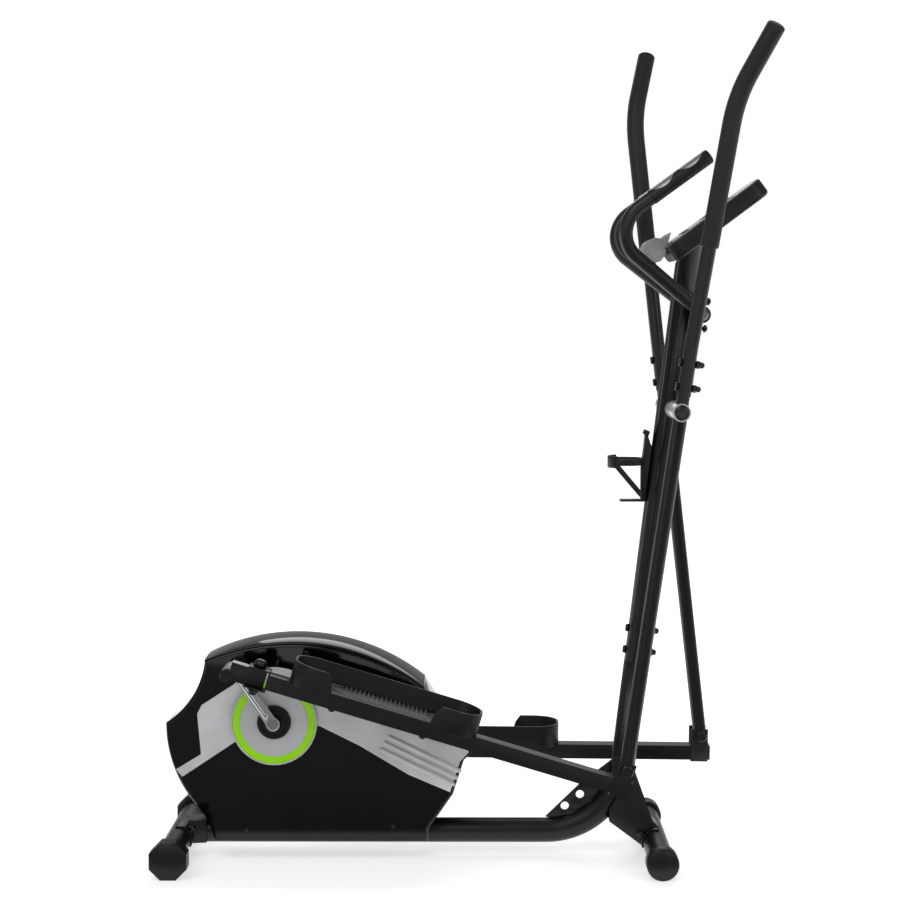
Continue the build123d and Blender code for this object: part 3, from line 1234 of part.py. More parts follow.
# ---------------------------------------------------------------- bottle cage
cage_back = post_point(CAGE_Z, -MAIN_R).X
hoop_x = cage_back - 14 - CAGE_HOOP_R + CAGE_WALL
with BuildPart() as bottle_cage:
    low = post_point(726, -MAIN_R)
    high = post_point(834, -MAIN_R)
    with BuildSketch(side_plane()):
        with BuildLine():
            Polyline(
                (low.X - 16, low.Z), (high.X - 16, high.Z),
                (high.X - 14, high.Z + 22), (high.X - 18, high.Z + 26),
                (high.X - 14, high.Z + 34), (high.X - 4, high.Z + 30), (high.X - 8, high.Z + 20),
                (high.X - 1, high.Z), (low.X - 1, low.Z),
                close=True,
            )
        make_face()
    extrude(amount=16, both=True)
    with BuildSketch(Plane.XY.offset(CAGE_Z - 7)):
        with Locations((hoop_x, 0)):
            Circle(CAGE_HOOP_R)
    extrude(amount=14)
    with BuildSketch(Plane.XY.offset(CAGE_Z - 12)):
        with Locations((hoop_x, 0)):
            Circle(CAGE_HOOP_R)
        with Locations((hoop_x + 20, 0)):
            Rectangle(2 * CAGE_HOOP_R, 3 * CAGE_HOOP_R, mode=Mode.SUBTRACT)
    extrude(amount=24)
    with BuildSketch(side_plane()):
        with BuildLine():
            Polyline((hoop_x - 30, CAGE_Z - 5), (hoop_x - 16, CAGE_Z - 5),
                     (low.X - 12, low.Z + 22), (low.X - 12, low.Z + 6), close=True)
        make_face()
    extrude(amount=CAGE_HOOP_R - 2, both=True)
    with BuildSketch(Plane.XY.offset(low.Z - 40)):
        with Locations((hoop_x, 0)):
            Circle(CAGE_HOOP_R - CAGE_WALL)
    extrude(amount=200, mode=Mode.SUBTRACT)
    with BuildSketch(Plane.XY.offset(low.Z - 4)):
        with Locations((low.X - 26, 0)):
            RectangleRounded(50, 30, 4)
    extrude(amount=4)
    rod(post_point(700, 0.0), post_point(860, 0.0), MAIN_TUBE_OD, mode=Mode.SUBTRACT)
finish(bottle_cage.part, "bottle_cage")
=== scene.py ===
import json
import logging
import math
from collections.abc import Callable
from dataclasses import dataclass, field
from enum import Enum

import bmesh
import bpy
from mathutils import Matrix, Vector

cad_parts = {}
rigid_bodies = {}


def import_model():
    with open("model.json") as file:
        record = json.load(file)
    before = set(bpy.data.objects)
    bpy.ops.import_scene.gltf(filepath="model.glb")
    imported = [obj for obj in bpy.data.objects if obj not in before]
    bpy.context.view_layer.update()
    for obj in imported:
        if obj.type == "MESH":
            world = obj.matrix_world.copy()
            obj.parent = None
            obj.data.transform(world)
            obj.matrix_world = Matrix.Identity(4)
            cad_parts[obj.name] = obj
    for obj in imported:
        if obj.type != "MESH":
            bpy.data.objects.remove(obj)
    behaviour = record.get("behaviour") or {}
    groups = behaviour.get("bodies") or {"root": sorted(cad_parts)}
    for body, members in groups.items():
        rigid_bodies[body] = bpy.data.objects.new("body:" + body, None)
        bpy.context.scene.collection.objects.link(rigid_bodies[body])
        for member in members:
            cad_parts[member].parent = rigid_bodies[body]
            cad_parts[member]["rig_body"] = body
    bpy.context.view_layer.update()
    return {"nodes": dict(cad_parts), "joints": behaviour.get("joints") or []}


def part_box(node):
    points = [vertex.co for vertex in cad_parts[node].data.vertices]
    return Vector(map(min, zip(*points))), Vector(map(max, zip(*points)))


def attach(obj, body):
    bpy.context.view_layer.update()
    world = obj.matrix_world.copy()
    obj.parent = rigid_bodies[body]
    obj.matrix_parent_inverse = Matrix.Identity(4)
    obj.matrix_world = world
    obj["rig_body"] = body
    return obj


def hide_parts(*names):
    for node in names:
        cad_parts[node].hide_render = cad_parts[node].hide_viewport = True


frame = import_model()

MM = 0.001
SMOOTH_ANGLE = math.radians(35)
DRIFT_SCALE = 16.0
DRIFT_SPAN = (0.32, 0.68)
BUMP_STRENGTH = 0.6
LEAST_ROUGHNESS = 0.03
COAT_ROUGHNESS = 0.08
Arc = tuple[tuple[float, float], tuple[float, float], tuple[float, float]]
log = logging.getLogger("elliptical_trainer")


class Side(Enum):
    """Side of the machine, as the sign of its Y."""

    RIGHT = -1
    LEFT = 1

    @property
    def word(self) -> str:
        """Word that ends the names of this side's pieces."""
        return self.name.lower()


class Grain(Enum):
    """How a surface was made, which sets the pattern in its colour, gloss and relief."""

    PLAIN = "plain"
    BRUSHED = "brushed"
    CELLS = "cells"


# ------------------------------------------------------------------ materials
def linear_colour(code: str) -> tuple[float, float, float, float]:
    """Turn an sRGB hex colour into linear RGBA.

    Args:
        code: Six hex digits.

    Returns:
        Linear red, green, blue and an alpha of 1.
    """
    values = [int(code[i:i + 2], 16) / 255 for i in (0, 2, 4)]
    linear = [v / 12.92 if v <= 0.04045 else ((v + 0.055) / 1.055) ** 2.4 for v in values]
    return (*linear, 1.0)


def add_node(tree: bpy.types.NodeTree, kind: str, inputs: dict | None = None,
             **settings: object) -> bpy.types.Node:
    """Add a node with its settings, values and links.

    Args:
        tree: Tree that gets the node.
        kind: Blender's name of the node type.
        inputs: Value or output socket for each named or numbered input.
        **settings: The node's own properties.

    Returns:
        The new node.
    """
    node = tree.nodes.new(kind)
    for name, value in settings.items():
        setattr(node, name, value)
    for socket, value in (inputs or {}).items():
        if isinstance(value, bpy.types.NodeSocket):
            tree.links.new(value, node.inputs[socket])
        else:
            node.inputs[socket].default_value = value
    return node


@dataclass(frozen=True)
class Finish:
    """One surface finish: what it is made of and how it was worked."""

    name: str
    slot: str
    dark: str
    light: str
    roughness: float
    grain_mm: float = 1.2
    relief_mm: float = 0.05
    grain: Grain = Grain.PLAIN
    gloss_spread: float = 0.06
    metallic: float = 0.0
    coat: float = 0.0
    sheen: float = 0.0
    transmission: float = 0.0
    specular: float = 0.5

    def material(self) -> bpy.types.Material:
        """Build the finish's material once and return it."""
        made = bpy.data.materials.get(self.name)
        return made if made else self._build()

    def _build(self) -> bpy.types.Material:
        """Make the shader tree: grain for relief and gloss, a slow drift for the colour."""
        material = bpy.data.materials.new(self.name)
        material.use_nodes = True
        tree = material.node_tree
        shader = tree.nodes["Principled BSDF"]
        place = add_node(tree, "ShaderNodeTexCoord").outputs["Object"]
        if self.grain is Grain.BRUSHED:
            # Brush lines run along the machine, so the pattern is squeezed across them.
            place = add_node(tree, "ShaderNodeMapping", {"Vector": place, "Scale": (0.05, 1, 1)}
                             ).outputs["Vector"]
        scale = 1 / (self.grain_mm * MM)
        if self.grain is Grain.CELLS:
            relief = add_node(tree, "ShaderNodeTexVoronoi", {"Vector": place, "Scale": scale}
                              ).outputs["Distance"]
        else:
            relief = add_node(tree, "ShaderNodeTexNoise",
                              {"Vector": place, "Scale": scale, "Detail": 3.0}).outputs["Fac"]
        # Handling and moulding leave slow changes of tone about 60 mm across.
        drift = add_node(tree, "ShaderNodeTexNoise",
                         {"Vector": place, "Scale": DRIFT_SCALE, "Detail": 4.0}).outputs["Fac"]
        ramp = add_node(tree, "ShaderNodeValToRGB", {"Fac": drift})
        for end, spot, tone in zip(ramp.color_ramp.elements, DRIFT_SPAN,
                                   (self.dark, self.light)):
            end.position, end.color = spot, linear_colour(tone)
        gloss = add_node(tree, "ShaderNodeMapRange", {
            "Value": relief, "To Min": max(self.roughness - self.gloss_spread, LEAST_ROUGHNESS),
            "To Max": self.roughness + self.gloss_spread})
        bump = add_node(tree, "ShaderNodeBump", {
            "Height": relief, "Strength": BUMP_STRENGTH, "Distance": self.relief_mm * MM})
        tree.links.new(ramp.outputs["Color"], shader.inputs["Base Color"])
        tree.links.new(gloss.outputs["Result"], shader.inputs["Roughness"])
        tree.links.new(bump.outputs["Normal"], shader.inputs["Normal"])
        shader.inputs["Metallic"].default_value = self.metallic
        shader.inputs["Specular IOR Level"].default_value = self.specular
        shader.inputs["Coat Weight"].default_value = self.coat
        shader.inputs["Coat Roughness"].default_value = COAT_ROUGHNESS
        shader.inputs["Sheen Weight"].default_value = self.sheen
        shader.inputs["Transmission Weight"].default_value = self.transmission
        return material


# Powder coat on steel: baked polyester with a faint orange peel and soft highlights.
POWDER_COAT = Finish("powder_coated_steel", "black_paint", "050506", "0a0a0b", 0.38,
                     grain_mm=1.4, relief_mm=0.04, specular=0.45)
# Polished ABS: deep black with sharp reflections and a very slight mould ripple.
GLOSS_ABS = Finish("polished_abs", "black_gloss_plastic", "020203", "040405", 0.09,
                   grain_mm=9.0, relief_mm=0.02, gloss_spread=0.03, specular=0.4)
# Silver lacquer on ABS: fine flakes under a satin clear coat.
SILVER_LACQUER = Finish("silver_lacquered_abs", "silver_plastic", "bebfc1", "cdced0", 0.34,
                        grain_mm=0.7, relief_mm=0.01, metallic=0.3, coat=0.2)
# Silver lacquer on the dished ABS cover: satin, with a wide highlight.
SATIN_DISC = Finish("satin_silver_dish", "silver_plastic", "b6b7b9", "c6c7c9", 0.32,
                    grain_mm=0.6, relief_mm=0.01, metallic=0.35)
# Lime ABS coloured in the mass: bright and even, with the soft shine of the mould.
LIME_ABS = Finish("lime_abs", "green_plastic", "8acd04", "96da08", 0.30, grain_mm=2.0,
                  relief_mm=0.01, specular=0.3)
# Spark-eroded mould texture: matt black with a fine leathery grain.
GRAINED_ABS = Finish("grained_black_abs", "black_plastic", "070708", "0d0d0e", 0.45,
                     grain_mm=0.9, relief_mm=0.12, specular=0.35)
# Moulded nylon: black and a little waxy, slightly rough from the mould.
ROLLER_NYLON = Finish("roller_nylon", "roller_plastic", "070708", "0e0e0f", 0.40,
                      grain_mm=1.1, relief_mm=0.08, specular=0.4)
# Oiled black oxide on steel fasteners: near black with small, hard highlights.
BLACK_OXIDE = Finish("black_capped_fastener", "black_hardware", "050506", "0a0a0b", 0.24,
                     grain_mm=1.0, relief_mm=0.02)
# Zinc plate on drawn steel: mid grey metal with fine lines along the machine.
ZINC_PLATE = Finish("zinc_plated_steel", "zinc_steel", "8c8d8e", "a5a6a7", 0.32,
                    grain_mm=0.8, grain=Grain.BRUSHED, relief_mm=0.02, metallic=1.0)
# Silver paint on steel tube: satin flakes under a thin clear coat.
SATIN_PAINT = Finish("satin_silver_paint", "satin_silver", "a8abae", "bdc0c3", 0.34,
                     grain_mm=1.0, relief_mm=0.02, metallic=0.6, coat=0.2)
# Chrome plate on forged steel: nearly a mirror, with a very slight waviness.
CHROME_PLATE = Finish("chrome_plate", "chrome", "c9cbcd", "dcdee0", 0.10,
                      grain_mm=6.0, relief_mm=0.01, gloss_spread=0.03, metallic=1.0)
# Turned cast iron: dark grey metal, dulled by its tool marks.
TURNED_IRON = Finish("turned_cast_iron", "cast_iron", "3c3c3d", "555556", 0.45,
                     grain_mm=0.8, relief_mm=0.08, metallic=0.9)
# Moulded rubber: dull and very dark, with hardly any highlight.
BELT_RUBBER = Finish("belt_rubber", "belt_rubber", "101010", "1b1b1b", 0.75,
                     grain_mm=1.0, relief_mm=0.1)
# Closed-cell foam: dull black with cells of a millimetre or so and a dusty edge sheen.
GRIP_FOAM = Finish("closed_cell_foam", "grip_foam", "050505", "0a0a0b", 0.56,
                   grain_mm=1.3, relief_mm=0.10, grain=Grain.CELLS, sheen=0.03,
                   specular=0.45)
# Graphite lacquer on moulded ABS: a dark, satin frame round the console's face.
GRAPHITE_LACQUER = Finish("graphite_lacquered_abs", "silver_plastic", "5c5e61", "6b6d70",
                          0.40, grain_mm=1.2, relief_mm=0.01, metallic=0.4, specular=0.3)
# Brushed stainless steel: fine lines that draw the highlight out.
SENSOR_STEEL = Finish("brushed_sensor_steel", "sensor_metal", "8c8e90", "a2a4a6", 0.36,
                      grain_mm=0.5, grain=Grain.BRUSHED, relief_mm=0.01, metallic=0.9)
# Moulded clear grey polystyrene: half see-through with a soft gloss.
SMOKE_STYRENE = Finish("clear_grey_styrene", "smoke_plastic", "aeb1b4", "bec1c4", 0.20,
                       grain_mm=6.0, relief_mm=0.01, transmission=0.55)
# Acrylic window over a liquid-crystal display: dark green-grey and glossy.
DISPLAY_WINDOW = Finish("display_window", "screen_glass", "1b211d", "242b26", 0.07,
                        grain_mm=12.0, relief_mm=0.005, gloss_spread=0.02, coat=0.5)
# Moulded silicone rubber: matt dark grey.
KEY_SILICONE = Finish("key_silicone", "key_rubber", "3a3b3d", "48494b", 0.6,
                      grain_mm=0.8, relief_mm=0.05)
# Tread bars in light grey: a painted highlight on black ribs, a little glossier than the tub.
PAINTED_HIGHLIGHT_TREAD_ABS = Finish("worn_tread_abs", "black_plastic", "565659", "6d6d70", 0.26, grain_mm=1.5,
                   relief_mm=0.04)


# ------------------------------------------------------------------ meshes
def settle(mesh: bpy.types.Mesh) -> bpy.types.Mesh:
    """Shade a mesh smooth, with its true corners kept sharp.

    Args:
        mesh: Mesh to shade.

    Returns:
        The same mesh.
    """
    mesh.shade_smooth()
    mesh.set_sharp_from_angle(angle=SMOOTH_ANGLE)
    return mesh


def to_mesh(form: bmesh.types.BMesh, name: str) -> bpy.types.Mesh:
    """Write a bmesh out as a shaded mesh with its faces pointing outwards.

    Args:
        form: The bmesh, which is used up.
        name: Name of the mesh.

    Returns:
        The shaded mesh.
    """
    bmesh.ops.recalc_face_normals(form, faces=form.faces)
    mesh = bpy.data.meshes.new(name)
    form.to_mesh(mesh)
    form.free()
    return settle(mesh)


def eased_copy(node: str, ease_mm: float) -> bpy.types.Mesh:
    """Copy a CAD node's mesh, merge its triangles and round its corners a little.

    Args:
        node: Name of the CAD node.
        ease_mm: Width of the rounding, or 0 for none.

    Returns:
        The new mesh.
    """
    form = bmesh.new()
    form.from_mesh(frame["nodes"][node].data)
    bmesh.ops.remove_doubles(form, verts=form.verts, dist=1e-6)
    if ease_mm:
        bmesh.ops.dissolve_limit(form, angle_limit=math.radians(0.5), verts=form.verts,
                                 edges=form.edges)
        corners = [e for e in form.edges
                   if len(e.link_faces) == 2 and e.calc_face_angle(0) > math.radians(50)]
        bmesh.ops.bevel(form, geom=corners, offset=ease_mm * MM, segments=2, profile=0.5,
                        affect="EDGES", clamp_overlap=True)
        bmesh.ops.triangulate(form, faces=[f for f in form.faces if len(f.verts) > 4])
    mesh = bpy.data.meshes.new(node)
    form.to_mesh(mesh)
    form.free()
    return settle(mesh)


def lathe(name: str, centre: Vector, side: Side, start_mm: float,
          profile: list[tuple[float, float]], segments: int = 128) -> bpy.types.Mesh:
    """Turn a closed profile about a shaft that runs across the machine.

    Args:
        name: Name of the mesh.
        centre: Point on the shaft, in metres.
        side: Side that the profile's offsets grow towards.
        start_mm: Distance from the machine's middle to the profile's zero.
        profile: Radius and offset of each corner in millimetres, as a closed loop.
        segments: Steps round the shaft.

    Returns:
        The turned mesh.
    """
    form = bmesh.new()
    rings = []
    for step in range(segments):
        angle = 2 * math.pi * step / segments
        rings.append([form.verts.new((centre.x + r * MM * math.cos(angle),
                                      side.value * (start_mm + out) * MM,
                                      centre.z + r * MM * math.sin(angle)))
                      for r, out in profile])
    for ring, following in zip(rings, rings[1:] + rings[:1]):
        for i in range(len(profile)):
            j = (i + 1) % len(profile)
            form.faces.new((ring[i], ring[j], following[j], following[i]))
    bmesh.ops.remove_doubles(form, verts=form.verts, dist=1e-7)
    return to_mesh(form, name)


def joint_place(name: str) -> Vector:
    """Place of a joint in the CAD frame.

    Args:
        name: Name of the joint.

    Returns:
        The joint's point, in metres.
    """
    return Vector(next(j for j in frame["joints"] if j["name"] == name)["pos_m"])


def rounded_path(corners: list[Vector], radius: float, steps: int = 24) -> list[Vector]:
    """Polyline of three corners with its middle one rounded, in metres.

    Args:
        corners: The three corners, in metres.
        radius: Radius of the rounding, in metres.
        steps: Steps in each of the two runs and in the bend.

    Returns:
        Points of the polyline.
    """
    first, corner, last = corners
    back, on = (first - corner).normalized(), (last - corner).normalized()
    half = back.angle(on) / 2
    reach = radius / math.tan(half)
    centre = corner + (back + on).normalized() * (radius / math.sin(half))
    start, end = corner + back * reach - centre, corner + on * reach - centre
    arc = [centre + start.slerp(end, i / steps) * radius for i in range(steps + 1)]
    run_in = [first.lerp(arc[0], i / steps) for i in range(steps)]
    run_out = [arc[-1].lerp(last, i / steps) for i in range(1, steps + 1)]
    return run_in + arc + run_out


def arc_height(points: Arc) -> Callable[[float], float]:
    """Height along the arc through three points, as a function of its x.

    Args:
        points: Three points on the arc, as x and z in millimetres.

    Returns:
        Function from x to z, both in millimetres.
    """
    (x1, z1), (x2, z2), (x3, z3) = points
    twist = 2 * (x1 * (z2 - z3) + x2 * (z3 - z1) + x3 * (z1 - z2))
    squares = [x * x + z * z for x, z in points]
    cx = (squares[0] * (z2 - z3) + squares[1] * (z3 - z1) + squares[2] * (z1 - z2)) / twist
    cz = (squares[0] * (x3 - x2) + squares[1] * (x1 - x3) + squares[2] * (x2 - x1)) / twist
    radius = math.hypot(x1 - cx, z1 - cz)
    return lambda x: cz + math.sqrt(radius ** 2 - (x - cx) ** 2)


def swept_rod(name: str, points: list[Vector], radii: list[float],
              segments: int = 48) -> bpy.types.Mesh:
    """Closed round form along a line, with a radius at each point.

    Args:
        name: Name of the mesh.
        points: Centre line in metres.
        radii: Radius in metres at each point.
        segments: Steps round the line.

    Returns:
        The swept mesh, closed at both ends.
    """
    form = bmesh.new()
    across = Vector((0, 1, 0))
    rings = []
    for i, (point, radius) in enumerate(zip(points, radii)):
        along = (points[min(i + 1, len(points) - 1)] - points[max(i - 1, 0)]).normalized()
        across = (across - along * across.dot(along)).normalized()
        up = along.cross(across)
        rings.append([form.verts.new(point + (across * math.cos(a) + up * math.sin(a)) * radius)
                      for a in (2 * math.pi * k / segments for k in range(segments))])
    for ring, following in zip(rings, rings[1:]):
        for k in range(segments):
            m = (k + 1) % segments
            form.faces.new((ring[k], ring[m], following[m], following[k]))
    form.faces.new(rings[0][::-1])
    form.faces.new(rings[-1])
    return to_mesh(form, name)


# ------------------------------------------------------------------ repeats
class RepeatTree:
    """Geometry Nodes tree that repeats a small form in a row, with named inputs."""

    def __init__(self, name: str) -> None:
        """Build the tree: a line of points, a bar on each, made real and given a material.

        Args:
            name: Name of the node group.
        """
        self.tree = bpy.data.node_groups.new(name, "GeometryNodeTree")
        face = self.tree.interface
        face.new_socket("Geometry", in_out="OUTPUT", socket_type="NodeSocketGeometry")
        for label, kind in (("Count", "NodeSocketInt"), ("Spacing", "NodeSocketFloat"),
                            ("Bar size", "NodeSocketVector"), ("Turn", "NodeSocketFloat"),
                            ("Material", "NodeSocketMaterial")):
            face.new_socket(label, in_out="INPUT", socket_type=kind)
        given = add_node(self.tree, "NodeGroupInput").outputs
        step = add_node(self.tree, "ShaderNodeCombineXYZ", {"X": given["Spacing"]})
        line = add_node(self.tree, "GeometryNodeMeshLine",
                        {"Count": given["Count"], "Offset": step.outputs["Vector"]})
        bar = add_node(self.tree, "GeometryNodeMeshCube", {"Size": given["Bar size"]})
        turn = add_node(self.tree, "ShaderNodeCombineXYZ", {"Z": given["Turn"]})
        placed = add_node(self.tree, "GeometryNodeInstanceOnPoints", {
            "Points": line.outputs["Mesh"], "Instance": bar.outputs["Mesh"],
            "Rotation": turn.outputs["Vector"]})
        real = add_node(self.tree, "GeometryNodeRealizeInstances",
                        {"Geometry": placed.outputs["Instances"]})
        dressed = add_node(self.tree, "GeometryNodeSetMaterial", {
            "Geometry": real.outputs["Geometry"], "Material": given["Material"]})
        add_node(self.tree, "NodeGroupOutput", {"Geometry": dressed.outputs["Geometry"]})

    def bake(self, name: str, values: dict[str, object]) -> bpy.types.Mesh:
        """Evaluate the tree for a set of input values.

        Args:
            name: Name of the mesh.
            values: Value of each named input.

        Returns:
            A plain mesh of all the repeats.
        """
        carrier = bpy.data.objects.new(name + "_rule", bpy.data.meshes.new(name + "_rule"))
        bpy.context.scene.collection.objects.link(carrier)
        rule = carrier.modifiers.new("repeat", "NODES")
        rule.node_group = self.tree
        for item in self.tree.interface.items_tree:
            if item.in_out == "INPUT":
                rule[item.identifier] = values[item.name]
        graph = bpy.context.evaluated_depsgraph_get()
        graph.update()
        mesh = bpy.data.meshes.new_from_object(carrier.evaluated_get(graph))
        bpy.data.objects.remove(carrier)
        return mesh


# ------------------------------------------------------------------ sub-assemblies
@dataclass
class SubAssembly:
    """A part of the machine whose pieces are dressed together."""

    pieces: list[bpy.types.Object] = field(default_factory=list, init=False)

    def place(self, name: str, mesh: bpy.types.Mesh, finish: Finish, body: str,
              *replaced: str) -> bpy.types.Object:
        """Add a finished piece to the scene.

        Args:
            name: Name of the piece.
            mesh: Its mesh, already in place.
            finish: Its surface finish.
            body: CAD body that it moves with.
            *replaced: CAD nodes that it stands for.

        Returns:
            The new object.
        """
        mesh.materials.clear()
        mesh.materials.append(finish.material())
        piece = bpy.data.objects.new(name, mesh)
        bpy.context.scene.collection.objects.link(piece)
        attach(piece, body)
        if replaced:
            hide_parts(*replaced)
        self.pieces.append(piece)
        log.info("%s: %d faces", name, len(mesh.polygons))
        return piece

    def ease(self, node: str, finish: Finish, ease_mm: float = 0.6) -> bpy.types.Object:
        """Stand an eased copy of a CAD node in for it.

        Args:
            node: Name of the CAD node.
            finish: Its surface finish.
            ease_mm: Width of the rounding, or 0 for none.

        Returns:
            The new object.
        """
        body = frame["nodes"][node]["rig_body"]
        return self.place(f"{node}_eased", eased_copy(node, ease_mm), finish, body, node)

    def dress(self, node: str, finish: Finish) -> None:
        """Keep a CAD node's shape and give it its finish.

        Args:
            node: Name of the CAD node.
            finish: Its surface finish.
        """
        piece = frame["nodes"][node]
        piece.data.materials.clear()
        piece.data.materials.append(finish.material())
        log.info("%s: dressed", node)


@dataclass
class BaseFrame(SubAssembly):
    """Main tube, post, stabilisers, brackets, feet and their bolts."""

    ease_mm: float = 0.8

    def build(self) -> None:
        """Dress the base."""
        for node in ("main_tube", "upright_post", "rear_stabiliser", "front_stabiliser"):
            self.ease(node, POWDER_COAT, 0)
        self.ease("frame_brackets", POWDER_COAT, self.ease_mm)
        self.ease("frame_bolts", BLACK_OXIDE, 0)
        self.ease("pivot_axle", ZINC_PLATE, 0)
        for side in Side:
            self.ease(f"levelling_cap_{side.word}", GRAINED_ABS, self.ease_mm)
            self.ease(f"transport_roller_{side.word}", ROLLER_NYLON, self.ease_mm)


@dataclass
class Drive(SubAssembly):
    """Crank arms and everything that turns inside the shroud."""

    def build(self) -> None:
        """Dress the drive."""
        for side in Side:
            self.ease(f"crank_arm_{side.word}", CHROME_PLATE, 0.5)
        for node, finish in (("crank_axle", ZINC_PLATE), ("crank_bearings", ZINC_PLATE),
                             ("drive_pulley", GRAINED_ABS), ("drive_belt", BELT_RUBBER),
                             ("flywheel", TURNED_IRON), ("flywheel_axle", ZINC_PLATE),
                             ("idler_wheel", GRAINED_ABS), ("magnet_bracket", POWDER_COAT),
                             ("drive_frame", POWDER_COAT), ("resistance_motor", GRAINED_ABS)):
            self.dress(node, finish)


@dataclass
class Shroud(SubAssembly):
    """Drive cover with its silver panels and the dished covers round the crank axle."""

    half_width_mm: float = 72.0
    disc_r: float = 87.0
    ring_out: float = 83.5
    ring_in: float = 68.6
    hub_r: float = 34.0
    depth: float = 8.0
    ring_floor: float = 5.0
    axle_hole_r: float = 10.5
    seam: Arc = ((-514.0, 408.0), (-325.0, 443.0), (-72.0, 354.0))
    crest: Arc = ((-514.0, 412.0), (-321.0, 454.0), (-72.0, 362.0))
    stations: int = 72
    skirt_mm: float = 1.0
    crown_steps: int = 40
    crown_power: float = 0.95
    rib_lines: tuple[tuple[tuple[float, float], tuple[float, float]], ...] = (
        ((-146.0, 257.0), (2.0, 184.0)), ((-154.0, 244.0), (-4.0, 170.0)),
        ((-162.0, 231.0), (-10.0, 157.0)))

    def build(self) -> None:
        """Make the shroud's pieces."""
        for node in ("shroud_right", "shroud_left"):
            self.ease(node, GLOSS_ABS, 0)
        self.place("top_cover_crowned", self._top_cover(), GLOSS_ABS, "frame",
                   "shroud_top_cover")
        for side in Side:
            self.place(f"trim_ribs_{side.word}", self._ribs(side), SILVER_LACQUER, "frame")
        self.ease("side_trims", SILVER_LACQUER, 0.5)
        self.ease("shroud_screws", BLACK_OXIDE, 0)
        centre = joint_place("crank_spin")
        for kind, make, finish in (("disc_covers", self._dish, SATIN_DISC),
                                   ("accent_rings", self._ring, LIME_ABS),
                                   ("hub_caps", self._hub, GRAINED_ABS)):
            for side in Side:
                name = f"{kind}_{side.word}"
                mesh = lathe(name, centre, side, self.half_width_mm, make())
                self.place(name, mesh, finish, "frame", kind)

    def _top_cover(self) -> bpy.types.Mesh:
        """Lengthwise crowned cover that closes the shroud above its seam.

        Returns:
            The closed cover.
        """
        seam, crest = (arc_height(points) for points in (self.seam, self.crest))
        form = bmesh.new()
        rings = []
        for i in range(self.stations + 1):
            x = self.seam[0][0] + (self.seam[2][0] - self.seam[0][0]) * i / self.stations
            low = seam(x)
            rise = max(crest(x) - low, 2.0)
            ring = [(self.half_width_mm, low - self.skirt_mm),
                    (-self.half_width_mm, low - self.skirt_mm)]
            for j in range(self.crown_steps + 1):
                turn = math.pi * (1 - j / self.crown_steps)
                wide = math.copysign(abs(math.cos(turn)) ** self.crown_power, math.cos(turn))
                ring.append(((self.half_width_mm + 0.4) * wide,
                             low + rise * math.sin(turn) ** self.crown_power))
            rings.append([form.verts.new((x * MM, y * MM, z * MM)) for y, z in ring])
        for ring, following in zip(rings, rings[1:]):
            for k in range(len(ring)):
                m = (k + 1) % len(ring)
                form.faces.new((ring[k], ring[m], following[m], following[k]))
        form.faces.new(rings[0])
        form.faces.new(rings[-1][::-1])
        return to_mesh(form, "top_cover_crowned")

    def _ribs(self, side: Side) -> bpy.types.Mesh:
        """Three half-round ribs running down the silver panel to its front edge.

        Args:
            side: Side of the machine.

        Returns:
            The side's ribs as one mesh.
        """
        form = bmesh.new()
        y = side.value * (self.half_width_mm + 1.2) * MM
        for (x1, z1), (x2, z2) in self.rib_lines:
            start, end = Vector((x1 * MM, y, z1 * MM)), Vector((x2 * MM, y, z2 * MM))
            points = [start.lerp(end, t) for t in (0, 0.01, 0.03, 0.5, 0.97, 0.99, 1)]
            radii = [r * MM for r in (0.4, 3.0, 4.9, 5.4, 4.9, 3.0, 0.4)]
            rod = swept_rod("rib", points, radii, 24)
            form.from_mesh(rod)
            bpy.data.meshes.remove(rod)
        return to_mesh(form, f"trim_ribs_{side.word}")

    def _dish(self) -> list[tuple[float, float]]:
        """Profile of the dished cover, with its lip and the ring's recess.

        Returns:
            Radius and offset of each corner, in millimetres.
        """
        inner_edge, floor = self.hub_r, 3.6
        span = self.ring_in - 0.6 - inner_edge
        hollow = [(self.ring_in - 0.6 - span * t, floor + (self.depth - floor) * (1 - t) ** 1.8)
                  for t in (i / 14 for i in range(15))]
        return [(inner_edge, 0), (self.disc_r, 0), (self.disc_r, 7.0), (self.disc_r - 0.3, 7.7),
                (self.disc_r - 1.0, self.depth), (self.ring_out + 0.9, self.depth),
                (self.ring_out + 0.2, 7.6), (self.ring_out, self.ring_floor),
                (self.ring_in, self.ring_floor), (self.ring_in, 7.4), *hollow]

    def _ring(self) -> list[tuple[float, float]]:
        """Profile of the coloured ring, slightly crowned.

        Returns:
            Radius and offset of each corner, in millimetres.
        """
        inner, outer = self.ring_in + 0.2, self.ring_out - 0.2
        crown = [(outer - (outer - inner) * t, 6.9 + 0.6 * math.sin(math.pi * t))
                 for t in (i / 10 for i in range(11))]
        return [(inner, self.ring_floor), (outer, self.ring_floor), *crown]

    def _hub(self) -> list[tuple[float, float]]:
        """Profile of the rubber hub, with a groove round its face.

        Returns:
            Radius and offset of each corner, in millimetres.
        """
        rim = self.hub_r - 0.2
        return [(rim, 0), (rim, 10.2), (rim - 0.5, 11.4), (rim - 1.8, 12), (26.5, 12),
                (25.2, 10.8), (20.8, 10.8), (19.5, 12), (12.5, 12), (self.axle_hole_r, 10.8),
                (self.axle_hole_r, 0)]


